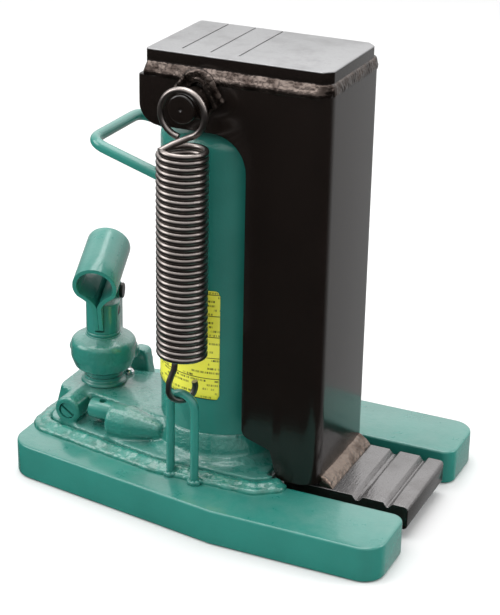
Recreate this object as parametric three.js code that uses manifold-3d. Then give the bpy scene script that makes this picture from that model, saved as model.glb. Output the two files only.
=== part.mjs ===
// Hydraulic toe jack. Millimetres, +Z up, +X towards the toe.
// The origin is on the floor, at the middle of the base.
import * as THREE from 'three';
import Module from 'manifold-3d';
import { mergeVertices } from 'three/addons/utils/BufferGeometryUtils.js';

const wasm = await Module();
wasm.setup();

// ---------------------------------------------------------------- driving sizes

const gap = 0.3; // between pieces that rest on or beside each other
const slideGap = 0.3; // round pieces that slide or turn

const base = { length: 244, halfWidth: 84.3, rearHalfWidth: 62, taperEnd: 21.5, thickness: 21.3,
  rearRadius: 17, tipOuterRadius: 13, tipInnerRadius: 8, slotMargin: 0.8, slotRun: 6.5 };
const casting = { rise: 20.7, deckRise: 5.7, floorRise: 8.7, rearMargin: 9, plateauHalf: 20 };
const weldBead = { width: 7, height: 3.4 };
const cylinder = { x: -9, radius: 38, wall: 5, height: 192, shoulder: 15 };
const collar = { lip: 4.3, wallRise: 13.2, topLip: 1 };
const pressureTube = { radius: 27, bore: 22, drop: 14.3 };
const gland = { radius: 27.3, rise: 2.5, sealDepth: 5, sealWidth: 4 };
const ram = { radius: 17.5, rise: 18 };
const sealHeight = 4;
const ringHeight = 6;
const piston = { lift: 2, height: 18, clearance: 0.3, sealDepth: 3.5 };
const column = { halfWidth: 39.4, wall: 8, bottomGap: 2.5, corner: 11, headDepth: 28.3, headGap: 2,
  postClearance: 7.1, throatRadius: 20, rearRadius: 12, frontRun: 16.1 };
const headPlate = { rearReach: 34.2, edgeMargin: 1.4, sideMargin: 5.5, thickness: 12.7, chamfer: 5,
  grooves: [-16, 1, 17.7], grooveWidth: 1.6, grooveDepth: 1 };
const saddle = { radius: 26, glandGap: 4.5 };
const toe = { reach: 53.3, floorGap: 6.4, thickness: 14.5, upstandRise: 49.1, upstandHalf: 25, postGap: 1.5,
  valleys: [[19.5, 26], [38.4, 43.8]], valleyDepth: 2.8, tipChamfer: 4 };
const guidePost = { depth: 13, halfWidth: 16, collarGap: 1.5, topDrop: 8 };
const guideShoe = { upstandGap: 4, height: 30, armRun: 10 };
const springPin = { radius: 8, drop: 10.3, tail: 2.5, weldRadius: 11.8, weldLength: 3.4, chamfer: 1.2 };
const spring = { clearance: 18.1, wire: 1.7, coilRadius: 12.05, hookRadius: 8.2, hookTurn: 135,
  hookReach: 24, headroom: 22, turns: 32, loopRadius: 13, stepsPerTurn: 6 };
const anchor = { x: -8.5, halfSpan: 8.6, rod: 2.5, rise: 56.7, yaw: 11, footRadius: 3.6 };
const handle = { reach: 71.5, drop: 16, halfGrip: 31, rootSide: 32, rootFall: 17.4, rootDepth: 8,
  rod: 3.3, bend: 11 };
const label = { rise: 22.5, height: 67.5, from: -165, to: -70, thickness: 0.4 };

const pump = { offset: 44, headYaw: 16, neckRise: 5, barrelRadius: 11, barrelRise: 32, bore: 7.3,
  spigotDepth: 13.7, grooveDepth: 1.8, grooveRise: 16, grooveHeight: 8, sealDrop: 2.5, sealHeight: 4 };
const swivel = { height: 28.7, wall: 8.5, waist: 3, cheek: 4.5, screwRadius: 2.5, screwHead: 2.2 };
const plunger = { rod: 7, lift: 3.7, headHeight: 18.4, headRadius: 10.35, slotRise: 1.2, slotClearance: 0.4 };
const lever = { tilt: 17, fulcrumRise: 19, pinRadius: 3.2, eyeRadius: 5.5, finHalf: 2.3,
  finBottom: -6.5, finTop: 10, tubeRise: 27, tubeRadius: 12.5, tubeWall: 2, front: 31.5, rear: -9.5 };
const crossPin = { drop: 6, radius: 3, travel: 1.1 };

const ballRadius = 3;
const reliefBoss = { pumpOffset: -6, rise: 13.7, radius: 8.4, face: -36 };
const reliefScrew = { radius: 4.85, length: 10.5, slotWidth: 1.4, slotDepth: 2 };
const releaseValve = { side: -28, rise: 15.7, pumpOffset: 7, knobLength: 15.7, knobRadius: 6,
  stemRadius: 4, stemLength: 16.3 };
const releaseBoss = { side: -33, rise: 13.7, radius: 10, length: 24 };
const oilPassage = { rise: 4.7, radius: 2.2, ballOffset: 33 };
const fillerPlug = { angle: 58.2, headRadius: 4, shankRadius: 2.8, height: 3.6, depth: 7, margin: 1.06 };
const lug = { pumpOffset: 10.5, y: 30, height: 13, halfLength: 7, thickness: 8 };

// ---------------------------------------------------------------- places worked out from them

const tip = base.length / 2;
const castingTop = base.thickness + casting.rise;
const collarTop = castingTop + 0.5;
const deckTop = base.thickness + casting.deckRise;
const castingFloor = base.thickness + casting.floorRise;
const castingRear = -tip + casting.rearMargin;
const cylinderTop = castingFloor + cylinder.height;
const pressureTop = cylinderTop - pressureTube.drop;
const glandTop = cylinderTop + gland.rise;
const cheekBottom = cylinderTop + column.headGap;
const columnTop = cheekBottom + column.headDepth;
const ramTop = cylinderTop + ram.rise;
const pistonBottom = castingFloor + piston.lift;
const pistonRadius = pressureTube.bore - piston.clearance;
const pistonGroove = pressureTube.bore - piston.sealDepth;
const sealSeat = pistonBottom + 3;
const ringSeat = pistonBottom + 10;
const columnInside = column.halfWidth - column.wall;
const cheekClear = Math.sqrt(Math.max(cylinder.radius ** 2 - columnInside ** 2, 0));
const postRear = cylinder.x + cheekClear + column.postClearance;
const guideFront = cylinder.x + cylinder.radius + guidePost.depth;
const wallInside = guideFront + column.frontRun;
const columnFront = wallInside + column.wall;
const headRear = cylinder.x - headPlate.rearReach;
const headFront = columnFront - 1.3;
const headHalf = column.halfWidth - headPlate.sideMargin;
const columnRear = headRear - headPlate.edgeMargin;
const slotHalf = column.halfWidth + base.slotMargin;
const toeRear = guideFront + toe.postGap;
const toeHalf = columnInside - 0.5;
const toeTop = toe.floorGap + toe.thickness;
const toeTip = columnFront + toe.reach;
const slotEnd = toeRear - base.slotRun;
const columnBottom = base.thickness + column.bottomGap;
const shoeBottom = toeTop + toe.upstandRise + guideShoe.upstandGap;
const upstandTop = toeTop + toe.upstandRise;
const saddleBottom = glandTop + saddle.glandGap;
const pinZ = columnTop - springPin.drop;
const springSide = Math.max(column.halfWidth, cylinder.radius + 0.4) + spring.clearance;
const anchorSide = springSide - 0.1;
const anchorTop = base.thickness + anchor.rise;
const springBottom = anchorTop + spring.hookReach;
const springTop = pinZ - spring.headroom;
const handleRootX = cylinder.x - Math.sqrt(cylinder.radius ** 2 - handle.rootSide ** 2);
const gripX = cylinder.x - handle.reach;
const gripZ = cylinderTop - handle.drop;
const pumpX = cylinder.x - cylinder.radius - pump.offset;
const neckTop = castingTop + pump.neckRise;
const barrelTop = castingTop + pump.barrelRise;
const barrelFoot = castingTop - pump.spigotDepth;
const barrelWaist = pump.barrelRadius - pump.grooveDepth;
const grooveBottom = castingTop + pump.grooveRise;
const grooveTop = grooveBottom + pump.grooveHeight;
const sealTop = barrelTop - pump.sealDrop;
const spigotRadius = pump.barrelRadius - 1.5;
const neckRadius = pump.barrelRadius + 1;
const swivelBottom = neckTop + gap;
const swivelTop = swivelBottom + swivel.height;
const swivelRadius = pump.barrelRadius + swivel.wall;
const headBottom = swivelTop + 0.6;
const headTop = headBottom + plunger.headHeight;
const slotBottom = headBottom + plunger.slotRise;
const fulcrumBack = plunger.headRadius + slideGap + lever.eyeRadius + 0.35;
const fulcrumZ = swivelTop + lever.fulcrumRise;
const crossPinZ = fulcrumZ - crossPin.drop;
const bracketHalf = lever.finHalf + 0.5 + swivel.cheek;
const plungerSlotHalf = lever.finHalf + plunger.slotClearance;
const rodBottom = barrelFoot + plunger.lift;
const screwHeight = (grooveBottom + grooveTop) / 2;
const reliefX = pumpX + reliefBoss.pumpOffset;
const reliefRear = -neckRadius;
const reliefZ = base.thickness + reliefBoss.rise;
const releaseZ = base.thickness + releaseValve.rise;
const knobFrom = pumpX + releaseValve.pumpOffset;
const knobTo = knobFrom + releaseValve.knobLength;
const stemTo = knobTo + releaseValve.stemLength;
const releaseBossFrom = knobTo + gap;
const lugX = pumpX + lug.pumpOffset;
const passageZ = base.thickness + oilPassage.rise;
const deliveryBallX = pumpX + oilPassage.ballOffset;
const plugReach = neckRadius + fillerPlug.headRadius + fillerPlug.margin;
const plugX = pumpX + plugReach * Math.cos(THREE.MathUtils.degToRad(fillerPlug.angle));
const plugY = plugReach * Math.sin(THREE.MathUtils.degToRad(fillerPlug.angle));

// ---------------------------------------------------------------- materials

const greenPaint = { color: 0x3a8474, roughness: 0.3, metalness: 0.0 };
const blackPaint = { color: 0x17120f, roughness: 0.2, metalness: 0.0 };
const satinSteel = { color: 0x8f8f8c, roughness: 0.45, metalness: 0.6 };
const springSteel = { color: 0x38322f, roughness: 0.25, metalness: 0.9 };
const brightSteel = { color: 0xb8b8b8, roughness: 0.25, metalness: 1.0 };
const darkSteel = { color: 0x2b2a28, roughness: 0.4, metalness: 0.8 };
const rubber = { color: 0x1a1a1a, roughness: 0.7, metalness: 0.0 };
const bronze = { color: 0xb08a4a, roughness: 0.35, metalness: 0.9 };
const yellowLabel = { color: 0xe8dc3c, roughness: 0.4, metalness: 0.0 };

// ---------------------------------------------------------------- solids from three.js shapes

const radians = THREE.MathUtils.degToRad;

function solid(geometry) {
  const bare = geometry.clone();
  bare.deleteAttribute('normal');
  bare.deleteAttribute('uv');
  const merged = mergeVertices(bare, 1e-4);
  const index = [...merged.index.array];
  const kept = [];
  for (let i = 0; i < index.length; i += 3) {
    const [a, b, c] = index.slice(i, i + 3);
    if (a !== b && b !== c && c !== a) kept.push(a, b, c);
  }
  const mesh = new wasm.Mesh({ numProp: 3,
    vertProperties: new Float32Array(merged.attributes.position.array),
    triVerts: new Uint32Array(kept) });
  return new wasm.Manifold(mesh);
}

function joined(first, ...others) {
  return others.reduce((whole, piece) => whole.add(solid(piece)), solid(first));
}

function cut(whole, ...cutters) {
  return cutters.reduce((rest, cutter) => rest.subtract(solid(cutter)), whole);
}

function surface(manifold) {
  const mesh = manifold.getMesh();
  const geometry = new THREE.BufferGeometry();
  geometry.setAttribute('position', new THREE.BufferAttribute(new Float32Array(mesh.vertProperties), 3));
  geometry.setIndex([...mesh.triVerts]);
  geometry.computeVertexNormals();
  return geometry;
}

// A closed outline through [x, y, radius] corners, with true arcs where a radius is given.
function outline(corners) {
  const shape = new THREE.Shape();
  corners.forEach(([x, y, radius = 0], i) => {
    const [beforeX, beforeY] = corners[(i + corners.length - 1) % corners.length];
    const [afterX, afterY] = corners[(i + 1) % corners.length];
    const corner = new THREE.Vector2(x, y);
    const back = new THREE.Vector2(beforeX, beforeY).sub(corner).normalize();
    const ahead = new THREE.Vector2(afterX, afterY).sub(corner).normalize();
    const halfAngle = Math.acos(THREE.MathUtils.clamp(back.dot(ahead), -1, 1)) / 2;
    const run = radius / Math.tan(halfAngle);
    const start = corner.clone().addScaledVector(back, run);
    if (i === 0) shape.moveTo(start.x, start.y);
    else shape.lineTo(start.x, start.y);
    if (radius === 0) return;
    const end = corner.clone().addScaledVector(ahead, run);
    const middle = back.clone().add(ahead).normalize();
    const centre = corner.clone().addScaledVector(middle, radius / Math.sin(halfAngle));
    const from = Math.atan2(start.y - centre.y, start.x - centre.x);
    const to = Math.atan2(end.y - centre.y, end.x - centre.x);
    shape.absarc(centre.x, centre.y, radius, from, to, back.cross(ahead) > 0);
  });
  shape.closePath();
  return shape;
}

// Mirrors a half outline, given from the rear to the front at +y, to the other side.
function bothSides(half) {
  const mirrored = half.map(([x, y, radius]) => [x, -y, radius]).reverse();
  return [...mirrored, ...half];
}

// Stands a flat (x, y) outline up from height bottom to height top.
function upright(shape, bottom, top, curveSegments = 6) {
  const depth = top - bottom;
  const geometry = new THREE.ExtrudeGeometry(shape, { depth, bevelEnabled: false, curveSegments });
  return geometry.translate(0, 0, bottom);
}

// Runs a side outline, given as (x, z), across the jack from y = from to y = to.
function across(shape, from, to, curveSegments = 6) {
  const geometry = new THREE.ExtrudeGeometry(shape, { depth: to - from, bevelEnabled: false, curveSegments });
  return geometry.rotateX(Math.PI / 2).translate(0, to, 0);
}

function block(x0, x1, y0, y1, z0, z1) {
  const box = new THREE.BoxGeometry(x1 - x0, y1 - y0, z1 - z0);
  return box.translate((x0 + x1) / 2, (y0 + y1) / 2, (z0 + z1) / 2);
}

// Turns a profile of [radius, height] points about the vertical line at (x, y).
function turned(profile, x = 0, y = 0, segments = 24) {
  const points = [...profile, profile[0]].map(([r, z]) => new THREE.Vector2(r, z));
  return new THREE.LatheGeometry(points, segments).rotateX(Math.PI / 2).translate(x, y, 0);
}

function rod(radius, bottom, top, x = 0, y = 0, segments = 24) {
  return turned([[0, bottom], [radius, bottom], [radius, top], [0, top]], x, y, segments);
}

function ring(inner, outer, bottom, top, x = 0, y = 0, segments = 24) {
  return turned([[inner, bottom], [outer, bottom], [outer, top], [inner, top]], x, y, segments);
}

function ball(radius, x, y, z) {
  const profile = [];
  const steps = 6;
  for (let i = 0; i <= steps; i += 1) {
    const angle = (i / steps - 0.5) * Math.PI;
    profile.push([i === 0 || i === steps ? 0 : radius * Math.cos(angle), z + radius * Math.sin(angle)]);
  }
  return turned(profile, x, y, 12);
}

// Lays a piece turned about the upright axis down along +X or along +Y.
function alongX(geometry) {
  return geometry.rotateY(Math.PI / 2);
}

function alongY(geometry) {
  return geometry.rotateX(-Math.PI / 2);
}

// A round bar bent along a curve.
function bentRod(curve, radius, steps, sides = 8) {
  const section = new THREE.Shape();
  for (let i = 0; i < sides; i += 1) {
    const angle = (i / sides) * 2 * Math.PI;
    const point = [radius * Math.cos(angle), radius * Math.sin(angle)];
    if (i === 0) section.moveTo(...point);
    else section.lineTo(...point);
  }
  section.closePath();
  return new THREE.ExtrudeGeometry(section, { steps, bevelEnabled: false, extrudePath: curve });
}

// A path of straight runs whose corners are rounded, as a wire or a bar is bent.
function bentPath(corners, bend) {
  const path = new THREE.CurvePath();
  let from = corners[0];
  for (let i = 1; i < corners.length - 1; i += 1) {
    const corner = corners[i];
    const start = corner.clone().add(corners[i - 1].clone().sub(corner).setLength(bend));
    const end = corner.clone().add(corners[i + 1].clone().sub(corner).setLength(bend));
    path.add(new THREE.LineCurve3(from, start));
    path.add(new THREE.QuadraticBezierCurve3(start, corner, end));
    from = end;
  }
  path.add(new THREE.LineCurve3(from, corners.at(-1)));
  return path;
}

// ---------------------------------------------------------------- base and casting

const point3 = (x, y, z) => new THREE.Vector3(x, y, z);

function baseOutline() {
  return outline(bothSides([
    [-tip, base.rearHalfWidth, base.rearRadius],
    [base.taperEnd, base.halfWidth],
    [tip, base.halfWidth, base.tipOuterRadius],
    [tip, slotHalf, base.tipInnerRadius],
    [slotEnd, slotHalf],
  ]));
}

function basePlate() {
  return upright(baseOutline(), 0, base.thickness, 5);
}

// The casting's foot, and the same outline grown outwards for its weld bead.
function deckOutline(grow = 0) {
  return outline(bothSides([
    [castingRear - grow, 33 + grow, 12],
    [cylinder.x - 19, springSide - 7.5 + grow, 20],
    [slotEnd - 5 + grow / 2, springSide - 8.5 + grow, 6],
    [slotEnd + 4 + grow, slotHalf + 2.8 + grow / 2, 3],
    [slotEnd + 4 + grow, slotHalf],
    [slotEnd, slotHalf],
  ]));
}

function plateau() {
  return upright(outline(bothSides([
    [castingRear + 1, casting.plateauHalf, 6],
    [pumpX + 5, casting.plateauHalf, 10],
    [cylinder.x - cylinder.radius - 3, casting.plateauHalf + 6],
    [cylinder.x - 5, casting.plateauHalf + 16],
  ])), base.thickness, castingTop);
}

function collarBody() {
  const wall = cylinder.radius + collar.lip;
  return turned([
    [0, base.thickness], [wall + 4, base.thickness], [wall + 4, deckTop - 1],
    [wall, deckTop + 3], [wall, base.thickness + collar.wallRise],
    [cylinder.radius + collar.topLip, collarTop], [0, collarTop],
  ], cylinder.x, 0, 40);
}

function reliefBore(radius, from, to) {
  return alongY(rod(radius, from, to, 0, 0, 20)).translate(reliefX, 0, reliefZ);
}

function releaseBore(radius, from, to) {
  return alongX(rod(radius, from, to, 0, 0, 20)).translate(0, releaseValve.side, releaseZ);
}

function baseCasting() {
  const deck = upright(deckOutline(), base.thickness, deckTop, 3);
  const reliefLump = reliefBore(reliefBoss.radius, reliefBoss.face, reliefRear);
  const releaseBossTo = releaseBossFrom + releaseBoss.length;
  const releaseLump = alongX(rod(releaseBoss.radius, releaseBossFrom, releaseBossTo, 0, 0, 20));
  const lugPlate = across(outline([
    [lugX - lug.halfLength, deckTop - 1], [lugX + lug.halfLength, deckTop - 1],
    [lugX + lug.halfLength, castingTop + lug.height, 5], [lugX - lug.halfLength, castingTop + lug.height, 5],
  ]), lug.y - lug.thickness / 2, lug.y + lug.thickness / 2);
  const whole = joined(deck, plateau(), collarBody(), reliefLump,
    releaseLump.translate(0, releaseBoss.side, base.thickness + releaseBoss.rise), lugPlate);
  const boreBottom = barrelFoot - gap;
  const crosswayEnd = cylinder.x - pressureTube.bore + 8;
  return surface(cut(whole,
    rod(cylinder.radius + gap, castingFloor, castingTop + 10, cylinder.x, 0, 40),
    rod(spigotRadius + gap, boreBottom, castingTop + 1, pumpX),
    rod(ballRadius + gap, boreBottom - 4, boreBottom + 1, pumpX, 0, 16),
    alongX(rod(oilPassage.radius, pumpX, crosswayEnd, 0, 0, 12)).translate(0, 0, passageZ),
    alongX(rod(ballRadius + gap, deliveryBallX - 4, deliveryBallX + 4, 0, 0, 16)).translate(0, 0, passageZ),
    rod(oilPassage.radius, passageZ, castingFloor + 1, crosswayEnd - oilPassage.radius, 0, 12),
    reliefBore(reliefScrew.radius + gap, reliefBoss.face - 1, reliefRear),
    releaseBore(releaseValve.knobRadius + 0.6, knobFrom - 5.5, releaseBossFrom),
    releaseBore(releaseValve.stemRadius + slideGap, releaseBossFrom - 1, stemTo + 2 * ballRadius + 4),
    rod(fillerPlug.shankRadius + gap, castingTop - fillerPlug.depth - 1, castingTop + 1, plugX,
      plugY, 16),
  ));
}

function anchorFeet(radius) {
  return [-1, 1].flatMap((side) => [-1, 1].map((end) => {
    const turn = radians(anchor.yaw) * side;
    const x = anchor.x + end * anchor.halfSpan * Math.cos(turn);
    const y = side * anchorSide + end * anchor.halfSpan * Math.sin(turn);
    return rod(radius, base.thickness - 1, base.thickness + 12, x, y, 16);
  }));
}

function baseWeld() {
  const bead = upright(deckOutline(weldBead.width), base.thickness, base.thickness + weldBead.height, 3);
  const slot = block(slotEnd - 20, tip, -slotHalf, slotHalf, 0, 50);
  const foot = upright(deckOutline(gap), 0, 50, 3);
  return surface(cut(solid(bead), foot, slot, ...anchorFeet(anchor.footRadius + gap)));
}

// ---------------------------------------------------------------- cylinder and its inside

function jackCylinder() {
  const inner = cylinder.radius - cylinder.wall;
  const mouth = gland.radius + gap;
  const profile = [[inner, castingFloor + gap], [cylinder.radius, castingFloor + gap]];
  const steps = 5;
  for (let i = 0; i <= steps; i += 1) {
    const angle = (i / steps) * (Math.PI / 2);
    const reach = Math.min(cylinder.shoulder, cylinder.radius - mouth);
    profile.push([cylinder.radius - reach * (1 - Math.cos(angle)),
      cylinderTop - cylinder.shoulder * (1 - Math.sin(angle))]);
  }
  profile.at(-1)[0] = mouth;
  profile.push([mouth, pressureTop], [inner, cylinderTop - cylinder.shoulder - 1]);
  return turned(profile, cylinder.x, 0, 40);
}

function pressureCylinder() {
  return ring(pressureTube.bore, pressureTube.radius, castingFloor + gap, pressureTop, cylinder.x);
}

function cylinderGland() {
  const sealOuter = ram.radius + gland.sealWidth;
  return turned([[ram.radius + slideGap, pressureTop + gap], [gland.radius, pressureTop + gap],
    [gland.radius, glandTop - 1.5], [gland.radius - 1.5, glandTop], [sealOuter, glandTop],
    [sealOuter, glandTop - gland.sealDepth],
    [ram.radius + slideGap, glandTop - gland.sealDepth]], cylinder.x);
}

function wiperSeal() {
  const seat = glandTop - gland.sealDepth;
  const outer = ram.radius + gland.sealWidth - gap;
  return turned([[ram.radius + 0.15, seat + gap], [outer, seat + gap], [outer, glandTop],
    [ram.radius + 1.2, glandTop + 0.8], [ram.radius + 0.15, glandTop + 0.8]], cylinder.x);
}

function ramRod() {
  const head = pistonRadius;
  const groove = pistonGroove;
  const headEnd = pistonBottom + piston.height;
  return turned([[0, pistonBottom], [head, pistonBottom], [head, sealSeat], [groove, sealSeat],
    [groove, sealSeat + sealHeight], [head, sealSeat + sealHeight], [head, ringSeat], [groove, ringSeat],
    [groove, ringSeat + ringHeight], [head, ringSeat + ringHeight], [head, headEnd], [ram.radius, headEnd],
    [ram.radius, ramTop - 1], [ram.radius - 1, ramTop], [0, ramTop]], cylinder.x);
}

function pistonRing(bottom, height) {
  return ring(pistonGroove + 0.2, pressureTube.bore - 0.15, bottom + 0.2, bottom + height - 0.2, cylinder.x);
}

function guidePostBar() {
  const bar = block(cylinder.x + 20, guideFront, -guidePost.halfWidth, guidePost.halfWidth,
    collarTop + guidePost.collarGap, cylinderTop - guidePost.topDrop);
  return surface(cut(solid(bar), rod(cylinder.radius + gap, 0, cylinderTop + 10, cylinder.x, 0, 40)));
}

function dataLabel() {
  const inner = cylinder.radius + 0.1;
  const outer = inner + label.thickness;
  const band = new THREE.Shape();
  band.absarc(0, 0, outer, radians(label.from), radians(label.to), false);
  band.absarc(0, 0, inner, radians(label.to), radians(label.from), true);
  band.closePath();
  const bottom = castingTop + label.rise;
  return upright(band, bottom, bottom + label.height, 14).translate(cylinder.x, 0, 0);
}

function carryingHandle() {
  const rootX = handleRootX + handle.rootDepth;
  const rootZ = gripZ - handle.rootFall;
  const corners = [point3(rootX, -handle.rootSide, rootZ), point3(gripX, -handle.halfGrip, gripZ),
    point3(gripX, handle.halfGrip, gripZ), point3(rootX, handle.rootSide, rootZ)];
  const bar = bentRod(bentPath(corners, handle.bend), handle.rod, 30, 10);
  return surface(cut(solid(bar), rod(cylinder.radius + gap, 0, cylinderTop + 10, cylinder.x, 0, 40)));
}

// ---------------------------------------------------------------- return springs and their anchors

function springAnchor(side) {
  const archRadius = anchor.halfSpan;
  const springLine = anchorTop - anchor.rod - archRadius;
  const path = new THREE.CurvePath();
  path.add(new THREE.LineCurve3(point3(-archRadius, 0, base.thickness + 0.1),
    point3(-archRadius, 0, springLine)));
  const kink = archRadius * 0.5523;
  path.add(new THREE.CubicBezierCurve3(point3(-archRadius, 0, springLine),
    point3(-archRadius, 0, springLine + kink),
    point3(-kink, 0, springLine + archRadius), point3(0, 0, springLine + archRadius)));
  path.add(new THREE.CubicBezierCurve3(point3(0, 0, springLine + archRadius),
    point3(kink, 0, springLine + archRadius),
    point3(archRadius, 0, springLine + kink), point3(archRadius, 0, springLine)));
  path.add(new THREE.LineCurve3(point3(archRadius, 0, springLine),
    point3(archRadius, 0, base.thickness + 0.1)));
  const foot = (x) => turned([[0, base.thickness + 0.1], [anchor.footRadius, base.thickness + 0.1],
    [anchor.rod + 0.4, base.thickness + 4], [0, base.thickness + 4]], x, 0, 16);
  const bar = surface(joined(bentRod(path, anchor.rod, 22, 8), foot(-archRadius), foot(archRadius)));
  return bar.rotateZ(radians(anchor.yaw) * side).translate(anchor.x, side * anchorSide, 0);
}

// A wire that bends at each of its points, with one step of its solid between each pair.
class BentWire extends THREE.Curve {
  constructor(points) {
    super();
    this.points = points;
  }

  getPoint(t, target = new THREE.Vector3()) {
    const last = this.points.length - 1;
    const i = Math.min(Math.floor(t * last), last - 1);
    return target.lerpVectors(this.points[i], this.points[i + 1], t * last - i);
  }

  getPointAt(u, target) {
    return this.getPoint(u, target);
  }

  getTangentAt(u, target) {
    return this.getTangent(u, target);
  }
}

// A return spring's wire: a hook below, close coils, and a round loop above that hangs on the pin.
function springPoints(side) {
  const points = [];
  const hookCentre = anchorTop - 2 * anchor.rod - spring.wire - 2.5 * gap + spring.hookRadius;
  const hookSteps = 8;
  const hookTurn = -side * radians(spring.hookTurn);
  const hookLine = point3(0, 1, 0).applyAxisAngle(point3(0, 0, 1), hookTurn);
  const hookPoint = (reach, height) => hookLine.clone().multiplyScalar(reach).setZ(height);
  for (let i = 0; i <= hookSteps; i += 1) {
    const angle = radians(20) - (i / hookSteps) * radians(200);
    points.push(hookPoint(spring.hookRadius * Math.cos(angle),
      hookCentre + spring.hookRadius * Math.sin(angle)));
  }
  points.push(hookPoint(-spring.hookRadius, hookCentre + 7),
    hookPoint(-spring.coilRadius + 1, springBottom - 2 * spring.wire - 0.5));
  const steps = spring.turns * spring.stepsPerTurn;
  for (let i = 0; i <= steps; i += 1) {
    const angle = -Math.PI / 2 + hookTurn - (i / spring.stepsPerTurn) * 2 * Math.PI;
    const height = springBottom + (i / steps) * (springTop - springBottom);
    points.push(point3(spring.coilRadius * Math.cos(angle), spring.coilRadius * Math.sin(angle), height));
  }
  const loopCentre = pinZ + springPin.radius + gap + spring.wire - spring.loopRadius;
  const loopSteps = 14;
  for (let i = 0; i <= loopSteps; i += 1) {
    const angle = -Math.PI / 2 - (i / loopSteps) * radians(330);
    points.push(point3(spring.loopRadius * Math.cos(angle), 0,
      loopCentre + spring.loopRadius * Math.sin(angle)));
  }
  return points;
}

function returnSpring(side) {
  const points = springPoints(side);
  const body = bentRod(new BentWire(points), spring.wire, points.length - 1, 4);
  return body.rotateZ(side < 0 ? Math.PI : 0).translate(cylinder.x, side * springSide, 0);
}

function springPinBar(side) {
  const start = column.halfWidth;
  const end = springSide + springPin.tail;
  const pin = turned([[0, start], [springPin.radius, start], [springPin.radius, end - springPin.chamfer],
    [springPin.radius - springPin.chamfer, end], [1.2, end], [0, end - 1.2]], 0, 0, 24);
  return alongY(pin).rotateZ(side < 0 ? Math.PI : 0).translate(cylinder.x, 0, pinZ);
}

function pinWeld(side) {
  const inner = springPin.radius + gap;
  const start = column.halfWidth;
  const bead = turned([[inner, start], [springPin.weldRadius, start],
    [springPin.weldRadius - 0.8, start + 1.8],
    [inner + 1, start + springPin.weldLength], [inner, start + springPin.weldLength]], 0, 0, 24);
  return alongY(bead).rotateZ(side < 0 ? Math.PI : 0).translate(cylinder.x, 0, pinZ);
}

// ---------------------------------------------------------------- lifting frame

function columnSide() {
  return outline([
    [columnRear, columnTop], [columnRear, cheekBottom, column.rearRadius],
    [postRear, cheekBottom, column.throatRadius], [postRear, columnBottom + 23.2, 6],
    [toeRear - 6.1, columnBottom + 17.6, 2], [toeRear - 2, columnBottom + 2, 2],
    [toeRear + 0.5, columnBottom], [columnFront, columnBottom],
    [columnFront, columnTop],
  ]);
}

function liftingColumn() {
  const inner = columnInside;
  const plan = outline([
    [columnRear - 1, -column.halfWidth], [columnFront, -column.halfWidth, column.corner],
    [columnFront, column.halfWidth, column.corner], [columnRear - 1, column.halfWidth],
    [columnRear - 1, inner], [wallInside, inner, 3],
    [wallInside, -inner, 3], [columnRear - 1, -inner],
  ]);
  const channel = solid(upright(plan, columnBottom - 1, columnTop + 1, 5));
  return surface(channel.intersect(solid(across(columnSide(), -100, 100, 6))));
}

function headOutline(grow = 0) {
  return outline([
    [headRear, -headHalf - grow, 4], [headFront + grow - headPlate.chamfer, -headHalf - grow, 2],
    [headFront + grow, -headHalf - grow + headPlate.chamfer, 2],
    [headFront + grow, headHalf + grow - headPlate.chamfer, 2],
    [headFront + grow - headPlate.chamfer, headHalf + grow, 2], [headRear, headHalf + grow, 4],
  ]);
}

function headPlateBlock() {
  const top = columnTop + headPlate.thickness;
  const edge = 1.2;
  const body = new THREE.ExtrudeGeometry(headOutline(),
    { depth: headPlate.thickness - edge, bevelEnabled: true,
    bevelThickness: edge, bevelSize: edge, bevelOffset: -edge, bevelSegments: 1, curveSegments: 2 });
  const plate = solid(body.translate(0, 0,
    columnTop)).intersect(solid(block(-100, 100, -60, 60, columnTop, 400)));
  const grooves = headPlate.grooves.map((run) => block(cylinder.x + run - headPlate.grooveWidth / 2,
    cylinder.x + run + headPlate.grooveWidth / 2, -60, 60, top - headPlate.grooveDepth, top + 5));
  return surface(cut(plate, ...grooves));
}

function headWeld() {
  const inset = 0.4;
  const beadTop = columnTop + 4.6;
  const rear = headRear + 2;
  const ringOutline = (reach, height) => upright(outline([
    [rear, -reach], [columnFront - column.halfWidth + reach, -reach, column.corner],
    [columnFront - column.halfWidth + reach, reach, column.corner], [rear, reach],
  ]), columnTop, height, 4);
  const low = solid(ringOutline(column.halfWidth - inset, columnTop + 2));
  const high = solid(ringOutline(column.halfWidth - 2, beadTop));
  const inner = upright(headOutline(gap), columnTop - 1, beadTop + 1);
  const rearOpening = block(columnRear - 5, rear + 1, -headHalf - gap, headHalf + gap,
    columnTop - 1, beadTop + 1);
  return surface(cut(low.add(high), inner, rearOpening));
}

function ramSaddle() {
  const socket = ram.radius + gap;
  const socketTop = saddleBottom + socketDepth();
  return turned([[0, socketTop], [socket, socketTop], [socket, saddleBottom], [saddle.radius, saddleBottom],
    [saddle.radius, columnTop], [0, columnTop]], cylinder.x);
}

function socketDepth() {
  return ramTop + gap - saddleBottom;
}

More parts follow.
